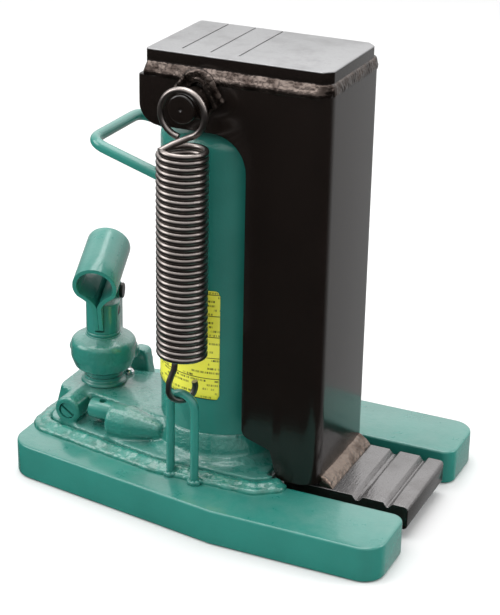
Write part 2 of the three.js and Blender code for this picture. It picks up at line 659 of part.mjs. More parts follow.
function toePlate() {
  const profile = [
    [toeRear, toe.floorGap], [toeTip - toe.tipChamfer, toe.floorGap],
    [toeTip, toe.floorGap + toe.tipChamfer], [toeTip, toeTop - 2.5], [toeTip - 2.5, toeTop],
  ];
  [...toe.valleys].reverse().forEach(([start, end]) => {
    const valleyFront = columnFront + end;
    const valleyRear = columnFront + start;
    profile.push([valleyFront, toeTop], [valleyFront - 2.2, toeTop - toe.valleyDepth],
      [valleyRear + 2.2, toeTop - toe.valleyDepth], [valleyRear, toeTop]);
  });
  profile.push([toeRear, toeTop]);
  const plate = across(outline(profile), -toeHalf, toeHalf);
  const shelf = block(wallInside, columnFront, -toe.upstandHalf, toe.upstandHalf, toeTop - 1, columnBottom);
  const rear = guideFront + 2 * toe.postGap;
  const upstand = block(rear, wallInside, -toe.upstandHalf, toe.upstandHalf, toeTop - 1, upstandTop);
  return surface(joined(plate, shelf, upstand));
}

function toeWeld() {
  const half = toeHalf - 1.9;
  const profile = outline([[columnFront, toeTop], [columnFront + 8.5, toeTop],
    [columnFront + 7, toeTop + 2.5, 2],
    [columnFront + 2, toeTop + 7.5, 2], [columnFront, toeTop + 8.5]]);
  return across(profile, -half, half);
}

function guideShoeBlock() {
  const front = wallInside - gap;
  const outer = columnInside - gap;
  const inner = guidePost.halfWidth + slideGap;
  const postFront = guideFront + slideGap;
  const armEnd = guideFront - guideShoe.armRun;
  return upright(outline([
    [armEnd, -outer], [front, -outer, 4], [front, outer, 4], [armEnd, outer],
    [armEnd, inner], [postFront, inner], [postFront, -inner], [armEnd, -inner],
  ]), shoeBottom, shoeBottom + guideShoe.height, 2);
}

// ---------------------------------------------------------------- pump

// Places a piece made about the pump's own axis, with +X towards the lever socket's mouth.
function atPump(geometry) {
  return geometry.rotateZ(radians(pump.headYaw - 90)).translate(pumpX, 0, 0);
}

function pumpBarrel() {
  const neckRoot = barrelWaist;
  const sealRoot = plunger.rod + 2.2;
  return turned([[pump.bore, barrelFoot], [spigotRadius, barrelFoot],
    [spigotRadius, castingTop + gap], [neckRadius, castingTop + gap], [neckRadius, neckTop],
    [pump.barrelRadius, neckTop], [pump.barrelRadius, grooveBottom], [neckRoot, grooveBottom],
    [neckRoot, grooveTop], [pump.barrelRadius, grooveTop], [pump.barrelRadius, barrelTop],
    [pump.bore, barrelTop], [pump.bore, sealTop],
    [sealRoot, sealTop], [sealRoot, sealTop - pump.sealHeight], [pump.bore, sealTop - pump.sealHeight]],
      pumpX);
}

function plungerSeal() {
  return ring(plunger.rod + 0.15, plunger.rod + 2, sealTop - pump.sealHeight + gap, sealTop - gap, pumpX);
}

function swivelScrewRods(inner, outer, radius) {
  return [-100, 100, 180].map((angle) => {
    const screw = rod(radius, inner, outer, 0, 0, 12).rotateY(Math.PI / 2);
    return screw.rotateZ(radians(angle)).translate(0, 0, screwHeight);
  });
}

function pumpSwivel() {
  const bore = pump.barrelRadius + slideGap;
  const waist = pump.barrelRadius + swivel.waist;
  const lidBottom = barrelTop + slideGap;
  const collarRing = turned([[bore, swivelBottom], [waist, swivelBottom],
    [swivelRadius - 1.8, swivelBottom + 5.2],
    [swivelRadius, swivelBottom + 9.7], [swivelRadius, swivelTop - 10], [swivelRadius - 1.5, swivelTop - 5],
    [waist, swivelTop - 1], [plunger.headRadius + 1.2, swivelTop],
    [plunger.rod + 0.6, swivelTop], [plunger.rod + 0.6, lidBottom], [bore, lidBottom]]);
  const rear = -fulcrumBack;
  const bracket = across(outline([
    [rear - lever.eyeRadius, screwHeight], [rear + lever.eyeRadius, screwHeight],
    [rear + lever.eyeRadius, fulcrumZ + lever.eyeRadius, lever.eyeRadius - 0.1],
    [rear - lever.eyeRadius, fulcrumZ + lever.eyeRadius, lever.eyeRadius - 0.1],
  ]), -bracketHalf, bracketHalf, 4);
  const finSpace = bracketHalf - swivel.cheek;
  const slot = block(rear - 20, rear + 30, -finSpace, finSpace, swivelTop, fulcrumZ + 20);
  const pinHole = alongY(rod(lever.pinRadius + slideGap, -20, 20, 0, 0, 16)).translate(rear, 0, fulcrumZ);
  const barrelRoom = rod(bore, swivelBottom, lidBottom);
  const headRoom = rod(plunger.headRadius + slideGap, swivelTop + 0.1, 130);
  const whole = joined(collarRing, bracket);
  return atPump(surface(cut(whole, slot, pinHole, barrelRoom, headRoom,
    ...swivelScrewRods(5, 40, swivel.screwRadius + gap))));
}

function swivelScrews() {
  const inner = barrelWaist + gap;
  return swivelScrewRods(inner, swivelRadius + swivel.screwHead, swivel.screwRadius).map(atPump);
}

function fulcrumPin() {
  const half = bracketHalf;
  const pin = turned([[0, -half - 2], [lever.pinRadius + 1.6, -half - 2],
    [lever.pinRadius + 1.6, -half - gap],
    [lever.pinRadius, -half - gap], [lever.pinRadius, half + 1.5], [0, half + 1.5]], 0, 0, 16);
  return atPump(alongY(pin).translate(-fulcrumBack, 0, fulcrumZ));
}

function crossPinHole(radius) {
  return alongY(rod(radius, -20, 20, 0, 0, 16)).translate(0, 0, crossPinZ);
}

function pumpPlunger() {
  const rodPart = turned([[0, rodBottom], [plunger.rod, rodBottom], [plunger.rod, headBottom],
    [plunger.headRadius - 0.8, headBottom], [plunger.headRadius, headBottom + 0.8],
    [plunger.headRadius, headTop - 1], [plunger.headRadius - 1, headTop], [0, headTop]]);
  const slot = block(-20, 20, -plungerSlotHalf, plungerSlotHalf, slotBottom, headTop + 5);
  return atPump(surface(cut(solid(rodPart), slot, crossPinHole(crossPin.radius + gap))));
}

function plungerPin() {
  const half = plunger.headRadius - 0.6;
  return atPump(alongY(rod(crossPin.radius, -half, half, 0, 0, 16)).translate(0, 0, crossPinZ));
}

// The lever socket's section, seen from its mouth: a round tube whose sheet closes to a fin below.
function socketSection() {
  const { tubeRadius, tubeRise, finHalf, finTop, finBottom } = lever;
  const spread = 32;
  const side = [tubeRadius * Math.cos(radians(-spread)), tubeRise + tubeRadius * Math.sin(radians(-spread))];
  const section = new THREE.Shape();
  section.moveTo(finHalf, finBottom);
  section.lineTo(finHalf, finTop);
  section.quadraticCurveTo(finHalf, finTop + 4, ...side);
  section.absarc(0, tubeRise, tubeRadius, radians(-spread), radians(180 + spread), false);
  section.quadraticCurveTo(-finHalf, finTop + 4, -finHalf, finTop);
  section.lineTo(-finHalf, finBottom);
  section.closePath();
  return section;
}

function socketBore() {
  const { tubeRadius, tubeWall, tubeRise, finTop } = lever;
  const radius = tubeRadius - tubeWall;
  const spread = 32;
  const side = [radius * Math.cos(radians(-spread)), tubeRise + radius * Math.sin(radians(-spread))];
  const section = new THREE.Shape();
  section.moveTo(0.4, finTop + 3);
  section.quadraticCurveTo(1.6, finTop + 6, ...side);
  section.absarc(0, tubeRise, radius, radians(-spread), radians(180 + spread), false);
  section.quadraticCurveTo(-1.6, finTop + 6, -0.4, finTop + 3);
  section.closePath();
  return section;
}

// Extrudes a (side, height) section along the socket, from the rear to the mouth.
function alongSocket(section, rear, front) {
  const geometry = new THREE.ExtrudeGeometry(section,
    { depth: front - rear, bevelEnabled: false, curveSegments: 14 });
  return geometry.translate(0, 0, rear).rotateX(Math.PI / 2).rotateZ(Math.PI / 2);
}

function leverSocket() {
  const pinReach = Math.hypot(fulcrumBack, fulcrumZ - crossPinZ);
  const pinTurn = Math.atan2(crossPinZ - fulcrumZ, fulcrumBack) + radians(lever.tilt);
  const slotRadius = crossPin.radius + 0.5;
  const along = (reach) => alongY(rod(slotRadius, -5, 5, 0, 0, 16)).rotateY(-pinTurn)
    .translate(reach * Math.cos(pinTurn), 0, reach * Math.sin(pinTurn));
  const slotFrom = pinReach - crossPin.travel - 0.3;
  const slotTo = pinReach + 0.3;
  const slotMiddle = block(slotFrom, slotTo, -5, 5, -slotRadius, slotRadius).rotateY(-pinTurn);
  const rearCut = across(outline([[lever.rear - 5, lever.finBottom - 1], [-3, lever.finBottom - 1],
    [-lever.eyeRadius, -2, 3], [-lever.eyeRadius, lever.finTop - 4, 3],
      [lever.rear - 5, lever.finTop]]), -5, 5);
  const body = solid(alongSocket(socketSection(), lever.rear, lever.front));
  const bored = cut(body, alongSocket(socketBore(), lever.rear - 1, lever.front + 1), rearCut,
    alongY(rod(lever.pinRadius + slideGap, -5, 5, 0, 0, 16)), along(slotFrom), along(slotTo), slotMiddle);
  const placed = surface(bored).rotateY(radians(lever.tilt));
  return atPump(placed.translate(-fulcrumBack, 0, fulcrumZ));
}

// ---------------------------------------------------------------- valves and plugs

function reliefValveScrew() {
  const start = reliefBoss.face + 0.8;
  const slot = block(-10, 10, -reliefScrew.slotDepth, reliefScrew.slotDepth, -reliefScrew.slotWidth / 2,
    reliefScrew.slotWidth / 2).rotateY(radians(35)).translate(reliefX, start, reliefZ);
  return surface(cut(solid(reliefBore(reliefScrew.radius, start, start + reliefScrew.length)), slot));
}

function reliefValveSpring() {
  const start = reliefBoss.face + 0.8 + reliefScrew.length + gap;
  const end = reliefRear - 2 * ballRadius - 2 * gap;
  const turns = 3;
  const wire = 0.6;
  const points = [];
  for (let i = 0; i <= turns * 8; i += 1) {
    const angle = (i / 8) * 2 * Math.PI;
    const along = start + wire + (i / (turns * 8)) * (end - start - 2 * wire);
    points.push(point3(reliefX + 3 * Math.cos(angle), along, reliefZ + 3 * Math.sin(angle)));
  }
  return bentRod(new BentWire(points), wire, points.length - 1, 4);
}

function releaseValveStem() {
  const { knobRadius, stemRadius } = releaseValve;
  const stem = alongX(turned([[0, knobFrom], [knobRadius - 0.8, knobFrom], [knobRadius, knobFrom + 0.8],
    [knobRadius, knobTo - 0.8], [knobRadius - 0.8, knobTo], [stemRadius, knobTo], [stemRadius, stemTo],
    [1.5, stemTo + 2.5], [0, stemTo + 2.5]], 0, 0, 20));
  const crossHole = rod(2.3, -20, 20, (knobFrom + knobTo) / 2, 0, 12);
  return surface(cut(solid(stem), crossHole)).translate(0, releaseValve.side, releaseZ);
}

function oilFillerPlug() {
  const { headRadius, shankRadius, height, depth } = fillerPlug;
  const foot = castingTop + 0.1;
  return turned([[0, foot - depth], [shankRadius, foot - depth], [shankRadius, foot], [headRadius, foot],
    [headRadius, foot + 1], [headRadius * 0.8, foot + height * 0.75], [headRadius * 0.4, foot + height],
      [0, foot + height]],
  plugX, plugY, 20);
}

// ---------------------------------------------------------------- assembly

const group = new THREE.Group();

function add(name, geometry, look) {
  const mesh = new THREE.Mesh(geometry, new THREE.MeshStandardMaterial(look));
  mesh.name = name;
  group.add(mesh);
}

add('base_plate', basePlate(), greenPaint);
add('base_casting', baseCasting(), greenPaint);
add('base_weld', baseWeld(), greenPaint);
add('jack_cylinder', jackCylinder(), greenPaint);
add('pressure_cylinder', pressureCylinder(), brightSteel);
add('cylinder_gland', cylinderGland(), darkSteel);
add('wiper_seal', wiperSeal(), rubber);
add('guide_post', guidePostBar(), greenPaint);
add('data_label', dataLabel(), yellowLabel);
add('carrying_handle', carryingHandle(), greenPaint);
add('pump_barrel', pumpBarrel(), greenPaint);
add('plunger_seal', plungerSeal(), rubber);
add('suction_check_ball', ball(ballRadius, pumpX, 0, barrelFoot - gap - 4 + ballRadius + gap), brightSteel);
add('delivery_check_ball', ball(ballRadius, deliveryBallX, 0, passageZ), brightSteel);
add('relief_valve_screw', reliefValveScrew(), greenPaint);
add('relief_valve_spring', reliefValveSpring(), springSteel);
add('relief_valve_ball', ball(ballRadius, reliefX, reliefRear - ballRadius - gap, reliefZ), brightSteel);
add('release_valve', releaseValveStem(), greenPaint);
add('release_valve_ball', ball(ballRadius, stemTo + 2.5 + gap + ballRadius, releaseValve.side,
  releaseZ), brightSteel);
add('oil_filler_plug', oilFillerPlug(), greenPaint);

for (const [sideName, side] of [['near', -1], ['far', 1]]) {
  add(`spring_anchor_${sideName}`, springAnchor(side), greenPaint);
  add(`return_spring_${sideName}`, returnSpring(side), springSteel);
  add(`spring_pin_${sideName}`, springPinBar(side), blackPaint);
  add(`pin_weld_${sideName}`, pinWeld(side), blackPaint);
}

add('lifting_column', liftingColumn(), blackPaint);
add('head_plate', headPlateBlock(), satinSteel);
add('head_weld', headWeld(), blackPaint);
add('ram_saddle', ramSaddle(), darkSteel);
add('toe_plate', toePlate(), satinSteel);
add('toe_weld', toeWeld(), blackPaint);
add('guide_shoe', guideShoeBlock(), bronze);
add('ram', ramRod(), brightSteel);
add('piston_seal', pistonRing(sealSeat, sealHeight), rubber);
add('piston_guide_ring', pistonRing(ringSeat, ringHeight), bronze);

add('pump_swivel', pumpSwivel(), greenPaint);
swivelScrews().forEach((screw, i) => add(`swivel_screw_${i + 1}`, screw, darkSteel));
add('fulcrum_pin', fulcrumPin(), darkSteel);
add('lever_socket', leverSocket(), greenPaint);
add('pump_plunger', pumpPlunger(), greenPaint);
add('plunger_pin', plungerPin(), darkSteel);

export default group;
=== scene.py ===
import math

import bmesh
import bpy
from mathutils import Matrix, Vector, noise


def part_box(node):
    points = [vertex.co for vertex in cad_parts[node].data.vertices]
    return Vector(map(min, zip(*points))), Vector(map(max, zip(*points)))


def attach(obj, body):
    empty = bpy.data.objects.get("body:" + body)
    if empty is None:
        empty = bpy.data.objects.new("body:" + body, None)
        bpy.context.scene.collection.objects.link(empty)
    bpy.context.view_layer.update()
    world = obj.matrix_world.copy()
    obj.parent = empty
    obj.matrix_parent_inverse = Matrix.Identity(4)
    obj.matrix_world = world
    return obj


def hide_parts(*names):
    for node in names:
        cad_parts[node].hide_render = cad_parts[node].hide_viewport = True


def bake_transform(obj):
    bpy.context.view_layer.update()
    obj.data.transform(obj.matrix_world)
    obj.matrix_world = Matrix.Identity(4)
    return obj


# The looks of a hydraulic toe jack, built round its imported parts. Sizes are millimetres until an object is
# made; +X points to the toe, +Z up, and the origin is on the floor under the middle of the base.

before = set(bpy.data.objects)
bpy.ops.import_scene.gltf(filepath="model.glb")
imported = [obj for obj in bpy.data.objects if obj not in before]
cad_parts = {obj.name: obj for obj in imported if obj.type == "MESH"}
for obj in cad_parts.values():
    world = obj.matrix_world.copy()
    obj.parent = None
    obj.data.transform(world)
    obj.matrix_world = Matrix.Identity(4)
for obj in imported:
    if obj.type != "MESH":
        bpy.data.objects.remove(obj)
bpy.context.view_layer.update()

MM = 0.001


def corners_of(node):
    """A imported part's lowest and highest corner, in millimetres."""
    low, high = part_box(node)
    return low / MM, high / MM


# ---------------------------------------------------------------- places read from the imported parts

plate_low, plate_high = corners_of("base_plate")
casting_low = corners_of("base_casting")[0]
cylinder_low, cylinder_high = corners_of("jack_cylinder")
column_low, column_high = corners_of("lifting_column")
head_low, head_high = corners_of("head_plate")
toe_low, toe_high = corners_of("toe_plate")
gland_low, gland_high = corners_of("cylinder_gland")
ram_low, ram_high = corners_of("ram")
pin_low, pin_high = corners_of("spring_pin_near")
anchor_high = corners_of("spring_anchor_near")[1]
spring_low = corners_of("return_spring_near")[0]
barrel_low, barrel_high = corners_of("pump_barrel")
plunger_low, plunger_high = corners_of("pump_plunger")
relief_low, relief_high = corners_of("relief_valve_screw")
release_low = corners_of("release_valve")[0]
plug_low, plug_high = corners_of("oil_filler_plug")
label_low, label_high = corners_of("data_label")
handle_low, handle_high = corners_of("carrying_handle")

plate_top = plate_high.z
cylinder_x = (cylinder_low.x + cylinder_high.x) / 2
cylinder_radius = (cylinder_high.x - cylinder_low.x) / 2
cylinder_top = cylinder_high.z
pump_x = (barrel_low.x + barrel_high.x) / 2
pin_z = (pin_low.z + pin_high.z) / 2
pin_radius = (pin_high.z - pin_low.z) / 2
head_bottom = column_high.z

# More sizes and places.
SLOT_HALF = 40.2  # half the width of the base's slot
SLOT_END = 37.0  # the slot's closed end, in x
CASTING_TOP = 42.0
RAM_RADIUS = 17.5
COLUMN_WALL = 8.0
TOE_TOP = 20.9  # the tops of the toe's lands
UPSTAND_HALF = 25.0  # half the width of the toe's part inside the column
SPRING_SIDE = 57.5  # from the middle to a spring's axis
RELIEF_RADIUS = 4.85
RELIEF_Z = 35.0
RELEASE_Y = -28.0
RELEASE_Z = 37.0

relief_x = relief_low.x + RELIEF_RADIUS

# ---------------------------------------------------------------- shapes in the flat


def outline(corners, steps=6):
    """Points round an outline of (x, y) or (x, y, radius) corners, with an arc at each radius."""
    points = []
    for i, (x, y, *rest) in enumerate(corners):
        here = Vector((x, y))
        if not rest:
            points.append(here)
            continue
        radius = rest[0]
        back = (Vector(corners[i - 1][:2]) - here).normalized()
        ahead = (Vector(corners[(i + 1) % len(corners)][:2]) - here).normalized()
        half = back.angle(ahead) / 2
        centre = here + (back + ahead).normalized() * (radius / math.sin(half))
        start = here + back * (radius / math.tan(half)) - centre
        end = here + ahead * (radius / math.tan(half)) - centre
        first = math.atan2(start.y, start.x)
        turn = (math.atan2(end.y, end.x) - first + math.pi) % (2 * math.pi) - math.pi
        for step in range(steps + 1):
            angle = first + turn * step / steps
            points.append(centre + radius * Vector((math.cos(angle), math.sin(angle))))
    return points


def both_sides(half):
    """A half outline given at +y, from the rear to the front, with its mirror image before it."""
    mirrored = [(x, -y, *rest) for x, y, *rest in reversed(half)]
    return mirrored + half


def spaced(path, step):
    """The same path with its points about one step apart."""
    points = [path[0]]
    for start, end in zip(path, path[1:]):
        count = max(1, round((end - start).length / step))
        points += [start.lerp(end, (k + 1) / count) for k in range(count)]
    return points


def full_turn(steps):
    """Angles round a circle, with the first one again at the end."""
    return [2 * math.pi * k / steps for k in range(steps + 1)]


def bent(corners, bend, steps=8):
    """A path of straight runs with a curve of the given run at each corner, as a bar is bent."""
    points = [corners[0]]
    for before, corner, after in zip(corners, corners[1:], corners[2:]):
        start = corner + (before - corner).normalized() * bend
        end = corner + (after - corner).normalized() * bend
        for k in range(steps + 1):
            t = k / steps
            points.append(start * (1 - t) ** 2 + corner * (2 * t * (1 - t)) + end * t**2)
    return points + [corners[-1]]


# ---------------------------------------------------------------- solids


def prism(points, low, high, across=False, top_points=None):
    """A solid between two heights, or from side to side where points are (x, z)."""
    solid = bmesh.new()

    def place(point, level):
        return (point.x, level, point.y) if across else (point.x, point.y, level)

    bottom = [solid.verts.new(place(p, low)) for p in points]
    top = [solid.verts.new(place(p, high)) for p in top_points or points]
    solid.faces.new(bottom)
    solid.faces.new(top)
    for i, vert in enumerate(bottom):
        solid.faces.new((bottom[i - 1], vert, top[i], top[i - 1]))
    return solid


def turned(profile, steps=64):
    """A solid turned about the upright axis from (radius, height) points that start and end on it or meet."""
    solid = bmesh.new()
    verts = [solid.verts.new((r, 0, z)) for r, z in profile]
    edges = [solid.edges.new(pair) for pair in zip(verts, verts[1:])]
    bmesh.ops.spin(solid, geom=verts + edges, cent=(0, 0, 0), axis=(0, 0, 1), angle=2 * math.pi, steps=steps,
                   use_merge=True)
    bmesh.ops.remove_doubles(solid, verts=solid.verts, dist=0.001)
    return solid


def rod(radius, low, high, steps=24):
    """A plain round bar on the upright axis."""
    return turned([(0, low), (radius, low), (radius, high), (0, high)], steps)


def block(left, right, rear, front, low, high, across=False):
    """A square prism. Where it lies across, rear and front are heights, and low and high are sides."""
    return prism(outline([(left, rear), (right, rear), (right, front), (left, front)]), low, high, across)


def swept(path, radius, sides=8, up=None):
    """A round bar along a path. The radius is one number, or one for each point."""
    solid = bmesh.new()
    radii = radius if isinstance(radius, list) else [radius] * len(path)
    side = (path[1] - path[0]).orthogonal().normalized()
    rings = []
    for i, point in enumerate(path):
        ahead = (path[min(i + 1, len(path) - 1)] - path[max(i - 1, 0)]).normalized()
        side = ahead.cross(up).normalized() if up else (side - ahead * side.dot(ahead)).normalized()
        lift = side.cross(ahead)
        angles = [2 * math.pi * k / sides for k in range(sides)]
        rings.append([solid.verts.new(point + radii[i] * (side * math.cos(a) + lift * math.sin(a)))
                      for a in angles])
    for ring, following in zip(rings, rings[1:]):
        for k in range(sides):
            solid.faces.new((ring[k - 1], ring[k], following[k], following[k - 1]))
    solid.faces.new(rings[0])
    solid.faces.new(rings[-1])
    return solid


def bead(path, radius, pitch=3.2, lump=0.06, sides=14, up=None, seed=0.0):
    """A weld bead along a path: a bar with even ripples and uneven lumps."""
    points = spaced(path, pitch / 5)
    radii = []
    for i, point in enumerate(points):
        ripple = abs(math.sin(math.pi * i / 5))
        uneven = noise.noise(point * 0.16 + Vector((seed, 0, 0)))
        radii.append(radius * (1 - lump + lump * 1.4 * ripple + 0.16 * uneven))
    return swept(points, radii, sides, up)


def moved(solid, matrix):
    bmesh.ops.transform(solid, matrix=matrix, verts=solid.verts)
    return solid


def at(x, y=0.0, z=0.0):
    return Matrix.Translation((x, y, z))


def turn_about(axis, degrees):
    return Matrix.Rotation(math.radians(degrees), 4, axis)


def softened(solid, width, segments=2, over=35, where=None):
    """Rounds the edges whose faces meet at more than the given angle."""
    bmesh.ops.recalc_face_normals(solid, faces=solid.faces)
    edges = [e for e in solid.edges if len(e.link_faces) == 2 and e.calc_face_angle() > math.radians(over)
             and (where is None or where(e))]
    bmesh.ops.bevel(solid, geom=edges, offset=width, offset_type="OFFSET", affect="EDGES", segments=segments,
                    profile=0.5, material=-1, clamp_overlap=True)
    return solid


def merged(*solids):
    """Several solids as one mesh, each still a closed shell of its own."""
    whole = bmesh.new()
    for solid in solids:
        mesh = bpy.data.meshes.new("part")
        bmesh.ops.recalc_face_normals(solid, faces=solid.faces)
        solid.to_mesh(mesh)
        solid.free()
        whole.from_mesh(mesh)
        bpy.data.meshes.remove(mesh)
    return whole


def object_from(name, solid):
    bmesh.ops.recalc_face_normals(solid, faces=solid.faces)
    mesh = bpy.data.meshes.new(name)
    solid.to_mesh(mesh)
    solid.free()
    mesh.transform(Matrix.Scale(MM, 4))
    made = bpy.data.objects.new(name, mesh)
    bpy.context.scene.collection.objects.link(made)
    return made


def shaped(whole, others=(), operation="DIFFERENCE", voxel=None, passes=0):
    """Melts a solid into one soft surface if a voxel size is given, then cuts it with the others."""
    work = object_from("work", whole)
    tools = [object_from("tool", other) for other in others]
    if voxel:
        melt = work.modifiers.new("melt", "REMESH")
        melt.mode = "VOXEL"
        melt.voxel_size = voxel * MM
        soften = work.modifiers.new("soften", "SMOOTH")
        soften.iterations = passes
        soften.factor = 0.5
    for tool in tools:
        cut = work.modifiers.new("cut", "BOOLEAN")
        cut.operation = operation
        cut.solver = "EXACT"
        cut.object = tool
    bpy.context.view_layer.update()
    mesh = bpy.data.meshes.new_from_object(work.evaluated_get(bpy.context.evaluated_depsgraph_get()))
    mesh.transform(Matrix.Scale(1 / MM, 4))
    result = bmesh.new()
    result.from_mesh(mesh)
    for scratch in [work, *tools]:
        bpy.data.meshes.remove(scratch.data)
    bpy.data.meshes.remove(mesh)
    bmesh.ops.remove_doubles(result, verts=result.verts, dist=0.002)
    return result


def piece(name, solid, material, body, smooth=40):
    """Makes a shown piece that rides on a body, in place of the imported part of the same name."""
    made = object_from(name + "_detail", solid)
    made.data.shade_smooth()
    made.data.set_sharp_from_angle(angle=math.radians(smooth))
    made.data.materials.append(material)
    if body:
        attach(made, body)
    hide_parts(name)
    return made


# ---------------------------------------------------------------- shader groups


class Nodes:
    """A node tree with short ways to add and link its nodes."""

    def __init__(self, tree):
        self.tree = tree
        self.tree.nodes.clear()

    def add(self, kind, inputs=None, **settings):
        node = self.tree.nodes.new(kind)
        for key, value in settings.items():
            setattr(node, key, value)
        for key, value in (inputs or {}).items():
            if isinstance(value, bpy.types.NodeSocket):
                self.tree.links.new(value, node.inputs[key])
            else:
                node.inputs[key].default_value = value
        return node

    def math(self, operation, *values):
        return self.add("ShaderNodeMath", dict(enumerate(values)), operation=operation).outputs[0]

    def between(self, value, low, high, out_low=0.0, out_high=1.0):
        node = self.add("ShaderNodeMapRange", {"Value": value, "From Min": low, "From Max": high,
                                               "To Min": out_low, "To Max": out_high})
        return node.outputs["Result"]

    def mix(self, factor, first, second):
        node = self.add("ShaderNodeMix", data_type="RGBA")
        for socket, value in zip((node.inputs[0], node.inputs[6], node.inputs[7]), (factor, first, second)):
            if isinstance(value, bpy.types.NodeSocket):
                self.tree.links.new(value, socket)
            else:
                socket.default_value = value
        return node.outputs[2]

    def noise(self, vector, scale, detail=2.0, roughness=0.5):
        node = self.add("ShaderNodeTexNoise", {"Vector": vector, "Scale": scale, "Detail": detail,
                                               "Roughness": roughness})
        return node.outputs["Fac"]


def shader_group(name, inputs, outputs):
    """A new node group with the named sockets: its nodes, its input node's sockets and its output node."""
    tree = bpy.data.node_groups.new(name, "ShaderNodeTree")
    for direction, sockets in (("INPUT", inputs), ("OUTPUT", outputs)):
        for label, kind in sockets:
            tree.interface.new_socket(label, in_out=direction, socket_type="NodeSocket" + kind)
    nodes = Nodes(tree)
    return nodes, nodes.add("NodeGroupInput").outputs, nodes.add("NodeGroupOutput")


def link_out(nodes, output, **values):
    for label, value in values.items():
        nodes.tree.links.new(value, output.inputs[label])


def paint_group():
    """Sprayed paint: a slightly uneven colour, a fine ripple, and a lighter colour in patches on what faces
    up that is partly thin dust and partly a painted sheen.
    """
    nodes, given, out = shader_group(
        "sprayed_paint",
        [("Colour", "Color"), ("Dust And Sheen Colour", "Color"), ("Dust And Sheen", "Float"), ("Roughness", "Float")],
        [("Colour", "Color"), ("Roughness", "Float"), ("Height", "Float")])
    where = nodes.add("ShaderNodeTexCoord").outputs["Object"]
    facing = nodes.add("ShaderNodeSeparateXYZ", {0: nodes.add("ShaderNodeNewGeometry").outputs["Normal"]})
    drift = nodes.noise(where, 28.0, 3.0)
    darker = nodes.mix(0.16, given["Colour"], (0, 0, 0, 1))
    even = nodes.mix(nodes.between(drift, 0.3, 0.7), darker, given["Colour"])
    patches = nodes.between(nodes.noise(where, 70.0, 4.0, 0.65), 0.35, 0.75)
    upward = nodes.between(facing.outputs["Z"], 0.5, 1.0)
    # A lighter colour in patches on what faces up: partly dust, partly a painted sheen of the light above.
    dust_and_sheen = nodes.math("MULTIPLY", nodes.math("MULTIPLY", patches, upward), given["Dust And Sheen"])
    ripple = nodes.noise(where, 420.0, 2.0)
    grit = nodes.between(nodes.noise(where, 1900.0, 1.0), 0.66, 0.8)
    link_out(nodes, out, Colour=nodes.mix(dust_and_sheen, even, given["Dust And Sheen Colour"]),
             Roughness=nodes.math("ADD", given["Roughness"], nodes.math("MULTIPLY", dust_and_sheen, 0.35)),
             Height=nodes.math("ADD", ripple, nodes.math("MULTIPLY", grit, 0.5)))
    return nodes.tree


def steel_group():
    """Worked steel: fine marks drawn out along one direction, darker blotches, and small scratches."""
    nodes, given, out = shader_group(
        "worked_steel",
        [("Colour", "Color"), ("Stain Colour", "Color"), ("Stretch", "Vector"), ("Roughness", "Float")],
        [("Colour", "Color"), ("Roughness", "Float"), ("Height", "Float")])
    where = nodes.add("ShaderNodeTexCoord").outputs["Object"]
    drawn = nodes.add("ShaderNodeVectorMath", {0: where, 1: given["Stretch"]}, operation="MULTIPLY")
    marks = nodes.noise(drawn.outputs[0], 900.0, 3.0, 0.6)
    blotch = nodes.between(nodes.noise(where, 55.0, 5.0, 0.7), 0.45, 0.75)
    speck = nodes.between(nodes.noise(where, 800.0, 1.0), 0.62, 0.75)
    stain = nodes.math("MAXIMUM", nodes.math("MULTIPLY", blotch, 0.45), nodes.math("MULTIPLY", speck, 0.35))
    link_out(nodes, out, Colour=nodes.mix(stain, given["Colour"], given["Stain Colour"]),
             Roughness=nodes.math("ADD", given["Roughness"], nodes.math("MULTIPLY", marks, 0.12)),
             Height=marks)
    return nodes.tree


def weld_group():
    """A weld bead's skin: crisp scales, spatter and burnt patches."""
    nodes, given, out = shader_group(
        "weld_skin",
        [("Colour", "Color"), ("Burnt Colour", "Color"), ("Roughness", "Float")],
        [("Colour", "Color"), ("Roughness", "Float"), ("Height", "Float")])
    where = nodes.add("ShaderNodeTexCoord").outputs["Object"]
    cells = nodes.add("ShaderNodeTexVoronoi", {"Vector": where, "Scale": 420.0}).outputs["Distance"]
    fine = nodes.noise(where, 600.0, 3.0, 0.6)
    burnt = nodes.between(nodes.noise(where, 140.0, 3.0), 0.42, 0.62)
    link_out(nodes, out, Colour=nodes.mix(burnt, given["Colour"], given["Burnt Colour"]),
             Roughness=nodes.math("ADD", given["Roughness"], nodes.math("MULTIPLY", fine, 0.18)),
             Height=nodes.math("ADD", nodes.math("MULTIPLY", cells, 1.2), fine))
    return nodes.tree


def print_group():
    """Rows of small marks like print, and ruled lines, on a label whose UV is in millimetres."""
    nodes, given, out = shader_group(
        "small_print",
        [("Row Pitch", "Float"), ("Rule Pitch", "Float")],
        [("Ink", "Float")])
    place = nodes.add("ShaderNodeSeparateXYZ", {0: nodes.add("ShaderNodeTexCoord").outputs["UV"]})
    along, height = place.outputs["X"], place.outputs["Y"]
    rows_up = nodes.math("DIVIDE", height, given["Row Pitch"])
    row = nodes.math("FLOOR", rows_up)
    from_middle = nodes.math("ABSOLUTE", nodes.math("SUBTRACT", nodes.math("FRACT", rows_up), 0.5))
    in_row = nodes.math("LESS_THAN", from_middle, 0.24)

    def marks(stretch, shift, scale, detail, over):
        place_in_row = nodes.add("ShaderNodeCombineXYZ", {0: nodes.math("MULTIPLY", along, stretch),
                                                          1: nodes.math("MULTIPLY", row, shift)})
        return nodes.math("GREATER_THAN", nodes.noise(place_in_row.outputs[0], scale, detail), over)

    letters = marks(1.5, 7.3, 1.6, 1.0, 0.5)
    written = marks(0.1, 3.1, 1.0, 0.0, 0.54)
    words = nodes.math("MULTIPLY", nodes.math("MULTIPLY", in_row, letters), written)
    rule_at = nodes.math("FRACT", nodes.math("DIVIDE", height, given["Rule Pitch"]))
    rules = nodes.math("LESS_THAN", rule_at, 0.035)
    link_out(nodes, out, Ink=nodes.math("MAXIMUM", nodes.math("MULTIPLY", words, 0.85), rules))
    return nodes.tree


# ---------------------------------------------------------------- materials


